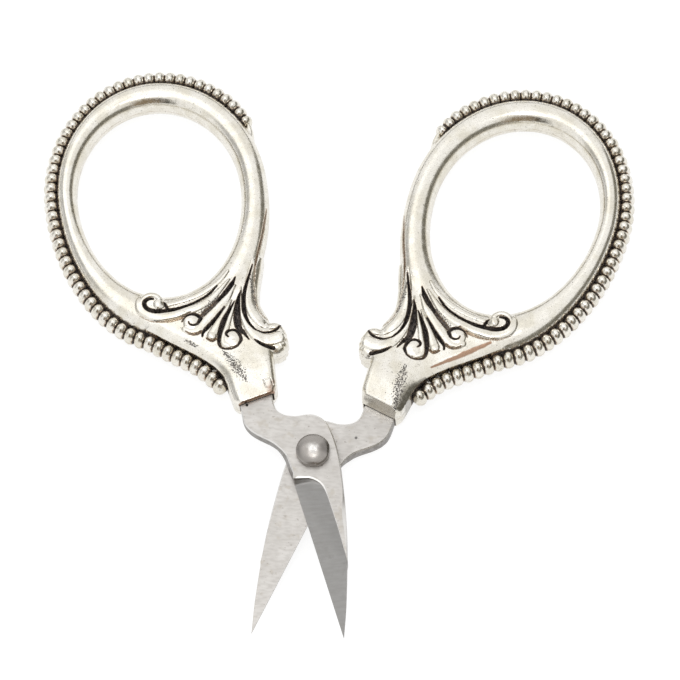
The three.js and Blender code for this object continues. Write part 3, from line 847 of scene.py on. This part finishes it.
def silver_material():
    """Antique silver: bright worn plate with grain, brown edges and near-black oxide in the recesses, with
    painted shade in the gap round the tang, a painted brown reflection on the front mouth and a painted
    dark reflection on one flank of the rear handle.
    """
    look = Finish("antique_silver_plate")
    grain = look.noise(5200)
    # Oxide in the recesses and painted shade in the tang's gap, broken up by grain
    uneven = look.times(look.math("SUBTRACT", grain, 0.5), 0.7)
    patina_shade_and_grain = look.plus(look.attribute("patina_and_gap_shade"), uneven)
    rubbed = look.times(look.attribute("scuff"), 0.22)
    specks = look.plus(look.noise(4200, 4), rubbed)
    scuffs = look.times(look.ramp(specks, 0.65, 0.71), 0.9)
    oxide_and_shade = look.math("MAXIMUM", look.ramp(patina_shade_and_grain, 0.4, 0.72), scuffs)
    tone = look.tinted(SILVER_BRIGHT, SILVER_WARM, look.noise(420, 2), 0.35, 0.7)
    tone = look.tinted(tone, SILVER_GREY, grain, 0.45, 0.7, 0.35)
    # Copper worn through on the rear handle, and a painted brown reflection on the front handle's mouth
    copper_and_reflection_patch = look.plus(look.attribute("copper_and_painted_reflection"), look.noise(900, 5))
    tone = look.tinted(tone, WORN_COPPER_AND_PAINTED_REFLECTION, copper_and_reflection_patch, 0.72, 1.25, 0.95)
    # Grey painted as a dark reflection on the rear handle's flank
    dark_reflection = look.plus(look.attribute("flank_painted_reflection"), look.noise(1100))
    tone = look.tinted(tone, PAINTED_DARK_REFLECTION, dark_reflection, 0.75, 1.15, 0.6)
    tone = look.mixed(parting_line(look), tone, COPPER_TINT)
    edged = look.mixed(look.times(look.ramp(patina_shade_and_grain, 0.08, 0.45), 0.8), tone, COPPER_TINT)
    black = look.tinted(OXIDE_AND_SHADE, DUSTY_OXIDE_AND_SHADE, look.noise(2400), 0.4, 0.64)
    polish = look.ramp(look.noise(1500), 0.3, 0.7, 0.17, 0.3)
    dents = look.plus(look.noise(1300, 2), look.times(look.noise(6500, 2), 0.5))
    look.bumped(dents, 0.4, 0.03 * MM)
    return look.surface({
        "Base Color": look.mixed(oxide_and_shade, edged, black),
        "Roughness": look.plus(polish, look.times(oxide_and_shade, 0.3)),
        "Metallic": look.ramp(oxide_and_shade, 0, 1, 1, 0.15),
    })


STEEL_FLAT = [(0.55, 0.528, 0.5, 1), (0.615, 0.593, 0.566, 1)]
STEEL_SATIN = (0.47, 0.448, 0.42, 1)
STEEL_STAIN = (0.46, 0.42, 0.36, 1)
STEEL_SPECK = (0.26, 0.23, 0.2, 1)
STEEL_BEVEL = [(0.435, 0.425, 0.41, 1), (0.48, 0.472, 0.46, 1)]
BEVEL_STAIN = (0.3, 0.285, 0.265, 1)
# Side walls painted dark as shade, chamfers painted bright as a highlight
STEEL_WALL_SHADE = [(0.22, 0.205, 0.19, 1), (0.36, 0.345, 0.33, 1)]
STEEL_EDGE_HIGHLIGHT = (0.84, 0.825, 0.8, 1)
PIT_BLACK = (0.01, 0.01, 0.01, 1)


def steel_material():
    """Satin steel: short scratches and specks on the flats, close transverse lines on the ground bevel,
    side walls painted dark as shade and chamfers painted bright as highlights.
    """
    look = Finish("ground_blade_steel")
    ground = look.attribute("ground")
    lines = look.drawn_noise(0.1, (240, 2600, 900), 3)
    satin = look.drawn_noise(0.25, (900, 2600, 900), 4)
    flat = look.tinted(*STEEL_FLAT, look.noise(260, 2), 0.3, 0.7)
    flat = look.tinted(flat, STEEL_SATIN, satin, 0.35, 0.7, 0.5)
    flat = look.tinted(flat, STEEL_STAIN, look.noise(650), 0.56, 0.7, 0.5)
    specks = look.ramp(look.drawn_noise(0.35, (1700, 2600, 1700), 3), 0.65, 0.72)
    flat = look.mixed(look.times(specks, 0.6), flat, STEEL_SPECK)
    bevel = look.tinted(*STEEL_BEVEL, lines, 0.3, 0.7)
    bevel = look.tinted(bevel, BEVEL_STAIN, look.noise(520, 4), 0.6, 0.75, 0.45)
    # Wall faces painted dark as shade, edge faces painted bright as highlights
    shaded_sides = look.tinted(*STEEL_WALL_SHADE, satin, 0.35, 0.65)
    colour = look.mixed(look.attribute("wall"), look.mixed(ground, flat, bevel), shaded_sides)
    colour = look.mixed(look.attribute("edge"), colour, STEEL_EDGE_HIGHLIGHT)
    for place, radius, depth in PITS:
        pit = look.ramp(look.measure("DISTANCE", place), 0.5 * radius * MM, radius * MM, depth, 0)
        colour = look.mixed(pit, colour, PIT_BLACK)
    look.bumped(look.plus(look.times(lines, ground), satin), 0.3, 0.01 * MM)
    roughness = look.ramp(satin, 0.2, 0.8, 0.34, 0.46)
    return look.surface({"Base Color": colour, "Roughness": roughness, "Metallic": 1})


# Crown colour: worn polish and a painted highlight; shade colour and side: a painted dark reflection
RIVET_POLISH_AND_HIGHLIGHT = (0.92, 0.9, 0.87, 1)
RIVET_RIM = (0.4, 0.375, 0.35, 1)
RIVET_RINGS = (0.33, 0.31, 0.29, 1)
RIVET_PAINTED_REFLECTION = (0.17, 0.155, 0.145, 1)
RIVET_REFLECTION_SIDE = (0.98, 0.2, 0)


def rivet_material():
    """Turned steel: rings round the axis, a crown painted bright as worn polish and a highlight, and one
    side painted dark as a reflection.
    """
    look = Finish("turned_rivet_steel")
    apart = look.add("ShaderNodeSeparateXYZ", {0: look.coords}).outputs
    squares = [look.math("POWER", apart[axis], 2.0) for axis in (0, 1)]
    radius = look.math("SQRT", look.plus(*squares))
    inputs = {"W": look.times(radius, 9000.0), "Scale": 1.0}
    rings = look.out("ShaderNodeTexNoise", inputs, noise_dimensions="1D")
    cloud = look.noise(900)
    ragged = look.plus(radius, look.ramp(cloud, 0.3, 0.7, -0.2 * MM, 0.2 * MM))
    # Bright crown: worn polish and a painted highlight
    tone = look.tinted(RIVET_POLISH_AND_HIGHLIGHT, RIVET_RIM, ragged, 0.25 * MM, 1.15 * MM)
    tone = look.tinted(tone, RIVET_RINGS, rings, 0.4, 0.65, 0.4)
    # One side painted dark as a reflection
    facing = look.math("DIVIDE", look.measure("DOT_PRODUCT", RIVET_REFLECTION_SIDE), radius)
    painted_reflection = look.times(look.ramp(facing, 0.8, 1), look.ramp(radius, 0.8 * MM, 1.6 * MM, 0, 0.7))
    look.bumped(rings, 0.3, 0.01 * MM)
    return look.surface({
        "Base Color": look.mixed(painted_reflection, tone, RIVET_PAINTED_REFLECTION),
        "Roughness": look.ramp(cloud, 0.2, 0.8, 0.24, 0.34),
        "Metallic": 1,
        "Anisotropic": 0.85,
        "Tangent": look.out("ShaderNodeTangent", direction_type="RADIAL", axis="Z"),
    })


ADHESIVE = [(0.2, 0.14, 0.09, 1), (0.34, 0.25, 0.17, 1)]


def adhesive_material():
    """Cured brown adhesive, lumpy and half glossy."""
    look = Finish("brown_tang_adhesive")
    lumps = look.ramp(look.noise(2600), 0.3, 0.7)
    look.bumped(lumps, 0.4, 0.03 * MM)
    return look.surface({"Base Color": look.mixed(lumps, *ADHESIVE), "Roughness": 0.45})


silver = silver_material()
steel = steel_material()
rivet_steel = rivet_material()
adhesive = adhesive_material()


# Handles

def lip_reflection_and_lobe_tint(points):
    """Brown on the lip of the mouth, painted as a reflection, and brown on the lobe beside the stake mark,
    on the upper face only.
    """
    across, along = socket_place(points[:, 0], points[:, 1])
    lip = LIP_PAINTED_REFLECTION * (1 - blend(along, *LIP_ENDS))
    lobe = LOBE_TINT * blend(across, *LOBE_ACROSS) * (1 - blend(along, *LOBE_ALONG))
    return np.maximum(lip, lobe) * blend(points[:, 2], *TINT_HEIGHT)


def make_handles():
    points, triangles, normals = handle_skin()
    patina_and_gap_shade = recess_depth(points)
    for side, _, body, front in HALVES:
        mesh = mesh_of(f"{side}_casting", points, triangles)
        # Oxide in the recesses, and painted shade in the tang's gap
        add_layer(mesh, "patina_and_gap_shade", patina_and_gap_shade)
        add_layer(mesh, "scuff", wear(points, SCUFFS + (LEFT_SCUFFS if front else RIGHT_SCUFFS)))
        # Front handle: painted brown reflection on the mouth; rear handle: plate worn through to copper
        add_layer(mesh, "copper_and_painted_reflection", lip_reflection_and_lobe_tint(points) if front else wear(points, [WORN_TRAIL]))
        # Rear handle only: grey on the flank, painted as a dark reflection
        add_layer(mesh, "flank_painted_reflection", wear(points, [] if front else [FLANK_REFLECTION_TRAIL]))
        mesh.transform(placement(front))
        mesh.shade_smooth()
        turn = np.array(placement(front).to_3x3()) / MM
        mesh.normals_split_custom_set_from_vertices(normals @ turn.T)
        stand_for(f"{side}_handle", f"{side}_casting", mesh, silver, body)


def bead_tree():
    """Beads set along a route, as one mesh, and the identifiers of the tree's inputs."""
    tree = bpy.data.node_groups.new("bead_run", "GeometryNodeTree")
    nodes = Nodes(tree)
    face = tree.interface
    face.new_socket("Route", in_out="INPUT", socket_type="NodeSocketGeometry")
    sockets = {}
    for label, kind in (("Bead Count", "Int"), ("Bead Half Size", "Vector"), ("Finish", "Material")):
        sockets[label] = face.new_socket(label, in_out="INPUT", socket_type="NodeSocket" + kind).identifier
    face.new_socket("Beads", in_out="OUTPUT", socket_type="NodeSocketGeometry")
    given = nodes.add("NodeGroupInput").outputs
    inputs = {"Segments": BEAD_SEGMENTS, "Rings": BEAD_RINGS, "Radius": 1.0}
    ball = nodes.add("GeometryNodeMeshUVSphere", inputs).outputs["Mesh"]
    bead = nodes.out("GeometryNodeTransform", {"Geometry": ball, "Scale": given["Bead Half Size"]})
    bead = nodes.out("GeometryNodeSetShadeSmooth", {0: bead})
    route = nodes.out("GeometryNodeMeshToCurve", {0: given["Route"]})
    inputs = {"Curve": route, "Count": given["Bead Count"]}
    spots = nodes.add("GeometryNodeCurveToPoints", inputs, mode="COUNT").outputs
    inputs = {"Vector": spots["Tangent"]}
    turn = nodes.out("FunctionNodeAlignRotationToVector", inputs, axis="X", pivot_axis="Z")
    taper = nodes.ramp(nodes.out("GeometryNodeInputIndex"), -1, 2, BEAD_TAPER, 1.0)
    inputs = {"Points": spots["Points"], "Instance": bead, "Rotation": turn, "Scale": taper}
    run = nodes.out("GeometryNodeInstanceOnPoints", inputs)
    run = nodes.out("GeometryNodeRealizeInstances", {0: run})
    run = nodes.out("GeometryNodeSetMaterial", {"Geometry": run, "Material": given["Finish"]})
    nodes.add("NodeGroupOutput", {0: run})
    return tree, sockets


def bead_stain(points):
    """Oxide beside the body and between one bead and the next, less of it up the ring."""
    x, y = points[:, 0], points[:, 1]
    at = plan_fields(x, y)
    off_body = -np.maximum(at["rim"], at["neck"])
    along = line_distance(x, y, bead_route())[1] * (BEAD_COUNT - 1)
    from_middle = np.abs((along + 0.5) % 1 - 0.5)
    low = 1 - UP_RING_LESS * blend(y, *UP_RING)
    gap, outside, beside_body = ([part_way(*ends, low) for ends in pair] for pair in BEAD_STAIN)
    between = blend(from_middle, *gap) * (1 - blend(off_body, *outside))
    return np.maximum(between, 1 - blend(off_body, *beside_body))


def make_beads():
    tree, sockets = bead_tree()
    route = [(x * MM, y * MM, 0) for x, y in bead_route()]
    links = [(i, i + 1) for i in range(len(route) - 1)]
    for side, _, body, front in HALVES:
        piece = add_piece(f"{side}_beads", mesh_of(f"{side}_bead_route", route, [], links))
        run = piece.modifiers.new("beads", "NODES")
        run.node_group = tree
        run[sockets["Bead Count"]] = BEAD_COUNT
        run[sockets["Bead Half Size"]] = [half * MM for half in BEAD_HALF]
        run[sockets["Finish"]] = silver
        mesh = baked(piece)
        piece.modifiers.remove(run)
        mesh.transform(Matrix.Scale(1 / MM, 4))
        add_layer(mesh, "patina_and_gap_shade", bead_stain(places_of(mesh)))
        mesh.transform(placement(front))
        piece.data = mesh
        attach(piece, body)


# Blades

def blade_outline():
    """Plan points from the socket down the spine to the tip, up the edge and back up the shank."""
    half = SHANK_WIDTH / 2
    spine = smooth_line([socket_point(half, 0), *SHANK_UPPER, *SPINE, TIP], 10)
    shank = smooth_line([EDGE_START, RICASSO, *SHANK_LOWER, socket_point(-half, 0)], 10)
    tang = [socket_point(-half, TANG_LENGTH), socket_point(half, TANG_LENGTH)]
    return spine, shank, np.array(tang)


def edge_direction():
    along = np.array(TIP, float) - EDGE_START
    return along / np.hypot(*along)


def grind_level(x, y):
    """Height of the ground plane over a plan point."""
    along = edge_direction()
    distance = (x - EDGE_START[0]) * -along[1] + (y - EDGE_START[1]) * along[0]
    rise = (BLADE_OUTER - BLADE_INNER - EDGE_LAND) / GRIND_WIDTH
    return BLADE_INNER + EDGE_LAND + rise * distance


def beside(run):
    """The unit direction to the right of each step."""
    run = run / np.hypot(run[:, 0], run[:, 1])[:, None]
    return np.stack([run[:, 1], -run[:, 0]], axis=1)


def circle(shaded_sides, radius):
    turns = np.linspace(0, 2 * math.pi, shaded_sides, endpoint=False)
    return radius * np.stack([np.cos(turns), np.sin(turns)], axis=1)


def ring_of(bm, plan_points, level):
    """Vertices over plan points, at one level or each at its own."""
    levels = np.broadcast_to(level, len(plan_points))
    return [bm.verts.new((x, y, z)) for (x, y), z in zip(plan_points, levels)]


# Face marks; the wall faces are painted dark as shade, the edge faces painted bright as a highlight
PLAIN, GROUND, PAINTED_SHADE_WALL, PAINTED_HIGHLIGHT_EDGE = range(4)


def wall(bm, lower, upper, mark=PLAIN):
    """Faces between two rings of vertices, either of which may be a single point."""
    count = max(len(lower), len(upper))
    for i in range(count):
        j = (i + 1) % count
        order = ((lower, i), (lower, j), (upper, j), (upper, i))
        corners = dict.fromkeys(ring[k % len(ring)] for ring, k in order)
        bm.faces.new(list(corners)).material_index = mark


def fill(bm, *loops, mark=PLAIN):
    """A flat face between closed loops of vertices."""
    edges = []
    for loop in loops:
        for a, b in zip(loop, loop[1:] + loop[:1]):
            edges.append(bm.edges.get((a, b)) or bm.edges.new((a, b)))
    made = bmesh.ops.triangle_fill(bm, edges=edges, use_beauty=True, use_dissolve=False)
    for part in made["geom"]:
        if isinstance(part, bmesh.types.BMFace):
            part.material_index = mark


def mesh_from(bm, name, matrix):
    mesh = bpy.data.meshes.new(name)
    bm.to_mesh(mesh)
    bm.free()
    mesh.transform(matrix)
    return mesh


def sleeve(bm, rings, closed, name, matrix, sharp):
    """A shaded mesh round a run of rings, with its steep edges sharp."""
    for lower, upper in zip(rings, rings[1:] + (rings[:1] if closed else [])):
        wall(bm, lower, upper)
    bmesh.ops.recalc_face_normals(bm, faces=bm.faces)
    mesh = mesh_from(bm, name, matrix)
    mesh.shade_smooth()
    mesh.set_sharp_from_angle(angle=math.radians(sharp))
    return mesh


def edge_forms(spine, shank, count, meets, shoulder):
    """Chamfer, lean of the sheared flank and width of the strip painted bright as a highlight, at each
    point of the outline.
    """
    chamfer, lean, strip = (np.zeros(count) for _ in range(3))
    runs_out = np.minimum(1, np.arange(meets, 0, -1) / SPINE_RUN_OUT)
    chamfer[:meets] = CHAMFER * runs_out
    room = line_distance(*spine[:meets].T, shoulder)[0]
    widens = STRIP_WIDTH * blend(-spine[:meets, 1], *STRIP_STARTS)
    strip[:meets] = np.minimum(widens, STRIP_SHARE * room) * runs_out
    step = np.arange(len(shank))
    along_shank = slice(len(spine) + 1, len(spine) + 1 + len(shank))
    chamfer[along_shank] = CHAMFER * np.minimum(1, step / SHANK_RUN_IN)
    lean[along_shank] = blend(step, *LEAN_STARTS) * (1 - blend(step, *LEAN_ENDS))
    return chamfer, lean, strip


def blade_mesh(name, matrix):
    """The blade with chamfered edges, pivot hole and the hollow-shouldered grind."""
    spine, shank, tang = blade_outline()
    meets = np.argmin(np.hypot(*(spine - GRIND_TOP).T))
    spine[meets] = GRIND_TOP
    shoulder = smooth_line([EDGE_START, *GRIND_SHOULDER, GRIND_TOP])
    flat = np.vstack([spine, EDGE_START + edge_direction() * HEEL_FOOT, shank, tang])
    heel = len(spine)
    top = np.full(len(flat), BLADE_OUTER)
    ground = slice(meets + 1, heel + 1)
    top[ground] = np.minimum(BLADE_OUTER, grind_level(*flat[ground].T))
    chamfer, lean, strip = edge_forms(spine, shank, len(flat), meets, shoulder)
    inward = beside(np.roll(flat, -1, axis=0) - np.roll(flat, 1, axis=0))
    high = np.maximum(top - chamfer - SHEAR_DROP * lean, BLADE_INNER + chamfer)
    plumb = np.zeros(len(flat))
    brow = SHEAR_INSET * lean
    rows = [(chamfer, BLADE_INNER), (plumb, BLADE_INNER + chamfer), (plumb, high),
            (brow, np.maximum(top - chamfer, high)), (brow + chamfer + strip, top)]
    bm = bmesh.new()
    rings = [ring_of(bm, flat + inward * inset[:, None], level) for inset, level in rows]
    # Chamfer faces painted bright as highlights, side walls painted dark as shade
    for lower, upper, mark in zip(rings, rings[1:], (PAINTED_HIGHLIGHT_EDGE, PAINTED_SHADE_WALL, PAINTED_SHADE_WALL, PAINTED_HIGHLIGHT_EDGE)):
        wall(bm, lower, upper, mark)
    bore = circle(BORE_SIDES, PIVOT_HOLE)
    bore_low, bore_high = (ring_of(bm, bore, level) for level in (BLADE_INNER, BLADE_OUTER))
    wall(bm, bore_low, bore_high)
    fill(bm, rings[0], bore_low)
    cap = rings[-1]
    ledge = make_grind(bm, cap, shoulder, meets, heel)
    fill(bm, cap[:meets + 1] + ledge[::-1] + cap[heel + 1:], bore_high)
    bmesh.ops.remove_doubles(bm, verts=bm.verts, dist=MERGE_WITHIN)
    bmesh.ops.recalc_face_normals(bm, faces=bm.faces)
    sharpen(bm, SHARP_TURN)
    return mesh_from(bm, name, matrix)


def sharpen(bm, limit):
    """Smooth faces, with sharp edges at steep turns and where the finish changes."""
    for f in bm.faces:
        f.smooth = True
    for e in bm.edges:
        marks = {f.material_index for f in e.link_faces}
        e.smooth = len(marks) == 1 and e.calc_face_angle(0) < limit


def make_grind(bm, cap, shoulder, meets, heel):
    """The ground plane, and the cove from it up to a lip painted bright as a highlight, its steep upper
    rows painted dark as shade; gives back the lip's upper edge.
    """
    outward = beside(np.gradient(shoulder, axis=0))
    drop = np.maximum(BLADE_OUTER - grind_level(*shoulder.T), 0)
    step = np.arange(len(shoulder))
    taper = np.minimum(1, step[::-1] / LIP_RUN_OUT)
    lip_width = part_way(GRIND_LIP, FINE_LIP, blend(-shoulder[:, 1], *LIP_NARROWS)) * taper
    back = shoulder - outward * (lip_width * np.minimum(1, step / LIP_RUN_IN))[:, None]
    ledge = ring_of(bm, back[1:-1], BLADE_OUTER)
    corner, end = cap[heel + 1], cap[meets]
    rows = [[corner, *ledge]]
    lip = np.minimum(LIP_DROP, LIP_SHARE * drop)
    reach = GRIND_COVE * np.minimum(1, drop / COVE_FULL_DROP) * taper
    for share in COVE_STEPS:
        at = shoulder + outward * (reach * share)[:, None]
        floor = np.minimum(grind_level(*at.T), BLADE_OUTER)
        level = floor + np.maximum(BLADE_OUTER - lip - floor, 0) * (1 - share) ** COVE_POWER
        first = cap[heel] if share == 1 else corner
        rows.append([first, *ring_of(bm, at[1:-1], level[1:-1])])
    for number, (upper, lower) in enumerate(zip(rows, rows[1:])):
        for i in range(len(upper) - 1):
            corners = dict.fromkeys((upper[i], upper[i + 1], lower[i + 1], lower[i]))
            mark = PAINTED_SHADE_WALL if drop[i] > WALL_DROP and number < WALL_ROWS else GROUND
            bm.faces.new(list(corners)).material_index = mark if number else PAINTED_HIGHLIGHT_EDGE
        bm.faces.new((upper[-1], end, lower[-1])).material_index = GROUND if number else PAINTED_HIGHLIGHT_EDGE
    fill(bm, rows[-1] + cap[meets:heel], mark=GROUND)
    return ledge


def make_blades():
    for _, layer, body, front in HALVES:
        name = f"{layer}_blade_steel"
        mesh = blade_mesh(name, placement(front))
        marks = np.zeros(len(mesh.polygons), np.int32)
        mesh.polygons.foreach_get("material_index", marks)
        # Wall faces carry painted shade, edge faces a painted highlight
        for label, mark in (("ground", GROUND), ("wall", PAINTED_SHADE_WALL), ("edge", PAINTED_HIGHLIGHT_EDGE)):
            add_layer(mesh, label, marks == mark, "FACE")
        mesh.polygons.foreach_set("material_index", np.zeros_like(marks))
        stand_for(f"{layer}_blade", name, mesh, steel, body)


# Pivot: turned profiles as radius and height, and the small flats on the head's sides

RIVET_PROFILE = [
    (0, -3.13), (1.85, -3.13), (2.02, -3.05), (2.1, -2.88), (2.1, -2.62), (2.02, -2.53), (1.5, -2.53),
    (1.5, 2.18), (2.45, 2.18), (2.57, 2.24), (2.6, 2.34), (2.6, 2.9), (2.56, 3.02), (2.4, 3.14),
    (2.1, 3.28), (1.6, 3.45), (1.1, 3.57), (0.6, 3.65), (0.3, 3.675), (0, 3.68),
]
WASHER_PROFILE = [(1.56, -2.53), (2.6, -2.53), (2.7, -2.46), (2.7, -2.25), (2.6, -2.18), (1.56, -2.18)]
TURNED_SIDES = 96
TURNED_SHARP = 40
RIVET_FLAT = 2.48


def turned(name, profile, closed):
    """A lathe piece about the pivot axis."""
    bm = bmesh.new()
    rings = [ring_of(bm, circle(TURNED_SIDES if radius else 1, radius), z) for radius, z in profile]
    matrix = Matrix.Translation((0, 0, MEETING_PLANE)) @ Matrix.Scale(MM, 4)
    return sleeve(bm, rings, closed, name, matrix, TURNED_SHARP)


def make_pivot():
    for name, node, profile, closed in (("turned_rivet", "pivot_rivet", RIVET_PROFILE, False),
                                        ("turned_washer", "pivot_washer", WASHER_PROFILE, True)):
        mesh = turned(name, profile, closed)
        for vertex in mesh.vertices:
            vertex.co.x = min(vertex.co.x, RIVET_FLAT * MM)
            vertex.co.y = max(vertex.co.y, -RIVET_FLAT * MM)
        stand_for(node, name, mesh, rivet_steel, "rear_half")


# Bonds: gap in the pocket, play on the tang, roundings, and how deep the bead lies in the mouth

BOND_GAP = 0.05
BOND_PLAY = 0.04
BOND_SHORT = 0.1
BOND_ROUND = 0.06
BOND_CORNER = 0.25
BOND_SHARP = 50
BOND_BEAD = [0.4, 0.28, 0.22, 0.3]
BOND_QUARTERS = [(1, 1), (-1, 1), (-1, -1), (1, -1)]


def bond_mesh(name, front):
    """A sleeve round the tang, with a bead of adhesive that swells towards the mouth."""
    low, high = POCKET_LOW + BOND_GAP, POCKET_HIGH - BOND_GAP
    outer = np.array([POCKET_HALF_WIDTH - BOND_GAP, (high - low) / 2])
    inner = np.array([SHANK_WIDTH, BLADE_OUTER - BLADE_INNER]) / 2 + BOND_PLAY
    deep = POCKET_DEPTH - BOND_SHORT
    shapes = [outer, outer, outer - BOND_ROUND, (outer + inner) / 2, inner, inner]
    bm = bmesh.new()
    rings = []
    for (wide, tall), along in zip(shapes, [deep, *BOND_BEAD, deep]):
        ring = []
        for (quarter, (sx, sz)), step in product(enumerate(BOND_QUARTERS), range(4)):
            angle = math.pi / 2 * (quarter + step / 3)
            across = sx * (wide - BOND_CORNER) + BOND_CORNER * math.cos(angle)
            level = (low + high) / 2 + sz * (tall - BOND_CORNER) + BOND_CORNER * math.sin(angle)
            ring.append(bm.verts.new((*socket_point(across, along), level)))
        rings.append(ring)
    return sleeve(bm, rings, True, name, placement(front), BOND_SHARP)


def make_bonds():
    for side, _, body, front in HALVES:
        name = f"{side}_bond_bead"
        stand_for(f"{side}_tang_bond", name, bond_mesh(name, front), adhesive, body)


make_handles()
make_beads()
make_blades()
make_pivot()
make_bonds()


# Stage

WHITE = (1, 1, 1, 1)
FLOOR_HALF = 3.0
FLOOR_DROP = 0.0001
FLOOR_GREY = (0.3, 0.3, 0.3, 1)
FLOOR_SEEN = 0.82
FLOOR_MIRRORED = 0.76
ROOM_LIGHT = 0.9
CARD_COLUMNS = 12
CARDS = {
    "horizon_card": {"turn": (-80, 195), "lift": (0, 8), "colour": (0.1, 0.09, 0.08), "radius": 1.5},
    "right_card": {"turn": (-60, 55), "lift": (6, 38), "colour": (0.2, 0.19, 0.16), "radius": 1.4},
    "front_card": {"turn": (262, 298), "lift": (12, 66), "colour": (0.28, 0.22, 0.155), "radius": 1.3},
    "dark_card": {"turn": (244, 262), "lift": (14, 60), "colour": (0.06, 0.055, 0.05), "radius": 1.3},
    "left_card": {"turn": (142, 194), "lift": (18, 48), "colour": (0.5, 0.5, 0.5), "radius": 1.4},
}
LIGHTS = {
    "key_light": {"place": (-0.35, 0.3, 0.9), "size": 0.7, "power": 0.5},
    "top_light": {"place": (0, -0.05, 1.2), "size": 0.24, "power": 1.0},
}
LIGHT_AIM = (0, 0.02, 0)


def stage_piece(name, points, faces, material):
    piece = add_piece(name, mesh_of(name, points, faces), material)
    return piece


def floor_material():
    """White floor that keeps the object's shadow."""
    look = Finish("white_floor")
    look.surface({"Base Color": FLOOR_GREY, "Roughness": 1, "Specular IOR Level": 0})
    path = look.add("ShaderNodeLightPath").outputs
    seen = look.times(path["Is Camera Ray"], FLOOR_SEEN)
    mirrored = look.math("MAXIMUM", path["Is Glossy Ray"], path["Is Transmission Ray"])
    strength = look.plus(seen, look.times(mirrored, FLOOR_MIRRORED))
    glow = look.add("ShaderNodeEmission", {"Color": WHITE, "Strength": strength})
    return look.show(look.add("ShaderNodeAddShader", {0: look.shader.outputs[0], 1: glow.outputs[0]}))


def make_world():
    """A white room, whose light on the object is a little weaker than what is seen of it."""
    world = bpy.data.worlds.new("white_room")
    scene.world = world
    world.use_nodes = True
    nodes = Nodes(world.node_tree)
    path = nodes.add("ShaderNodeLightPath").outputs
    seen = nodes.math("MAXIMUM", path["Is Camera Ray"], path["Is Glossy Ray"])
    seen = nodes.math("MAXIMUM", seen, path["Is Transmission Ray"])
    back = world.node_tree.nodes["Background"].inputs
    nodes.feed(back["Color"], WHITE)
    nodes.feed(back["Strength"], nodes.ramp(seen, 0, 1, ROOM_LIGHT, 1.0))


def make_card(name, turn, lift, colour, radius):
    """A curved card at the edge of the set, seen only in the metal, between azimuths and elevations."""
    points = []
    for azimuth, elevation in product(np.radians(np.linspace(*turn, CARD_COLUMNS)), np.radians(lift)):
        flat, up = radius * math.cos(elevation), radius * math.sin(elevation)
        points.append((flat * math.cos(azimuth), flat * math.sin(azimuth), up))
    faces = [(2 * i, 2 * i + 2, 2 * i + 3, 2 * i + 1) for i in range(CARD_COLUMNS - 1)]
    look = Finish(name + "_colour")
    glow = look.add("ShaderNodeEmission", {"Color": (*colour, 1), "Strength": 1.0})
    card = stage_piece(name, points, faces, look.show(glow))
    for ray in ("camera", "diffuse", "shadow"):
        setattr(card, "visible_" + ray, False)


def make_light(name, place, size, power):
    lamp = bpy.data.lights.new(name, "AREA")
    lamp.shape = "DISK"
    lamp.size = size
    lamp.energy = power
    light = add_piece(name, lamp)
    light.location = place
    light.rotation_euler = (Vector(LIGHT_AIM) - Vector(place)).to_track_quat("-Z", "Y").to_euler()


def make_stage():
    h = FLOOR_HALF
    corners = [(x, y, -FLOOR_DROP) for x, y in ((-h, -h), (h, -h), (h, h), (-h, h))]
    stage_piece("floor", corners, [(0, 1, 2, 3)], floor_material())
    make_world()
    for name, card in CARDS.items():
        make_card(name, **card)
    for name, light in LIGHTS.items():
        make_light(name, **light)


make_stage()


# Camera: the photograph's viewing angle

CAMERA_AZIMUTH = math.radians(12.166)
CAMERA_ELEVATION = math.radians(66.927)
CAMERA_ROLL = math.radians(8)
CAMERA_DISTANCE = 533.7
SENSOR_WIDTH = 36
IMAGE_SIZE = 680
PIXELS_PER_MM = 6.52
PIVOT_PIXEL = (313.976, 457.032)


def make_camera():
    a, e, r = CAMERA_AZIMUTH, CAMERA_ELEVATION, CAMERA_ROLL
    right = Vector((math.cos(a), math.sin(a), 0))
    back = Vector((math.sin(a) * math.cos(e), -math.cos(a) * math.cos(e), math.sin(e)))
    up = back.cross(right)
    image_right = right * math.cos(r) - up * math.sin(r)
    image_up = right * math.sin(r) + up * math.cos(r)
    pivot = Vector((0, 0, MEETING_PLANE))
    eye = pivot + back * CAMERA_DISTANCE * MM
    off_right = (IMAGE_SIZE / 2 - PIVOT_PIXEL[0]) / PIXELS_PER_MM
    off_up = (PIVOT_PIXEL[1] - IMAGE_SIZE / 2) / PIXELS_PER_MM
    aim = pivot + (image_right * off_right + image_up * off_up) * MM
    axis_z = (eye - aim).normalized()
    axis_x = image_up.cross(axis_z).normalized()
    axis_y = axis_z.cross(axis_x)
    lens = bpy.data.cameras.new("photo_camera")
    lens.sensor_width = SENSOR_WIDTH
    lens.lens = SENSOR_WIDTH * (eye - aim).length / MM / (IMAGE_SIZE / PIXELS_PER_MM)
    lens.clip_start = 0.01
    camera = add_piece("photo_camera", lens)
    turn = Matrix((axis_x, axis_y, axis_z)).transposed().to_4x4()
    camera.matrix_world = Matrix.Translation(eye) @ turn
    scene.camera = camera


make_camera()
scene.view_settings.view_transform = "Standard"
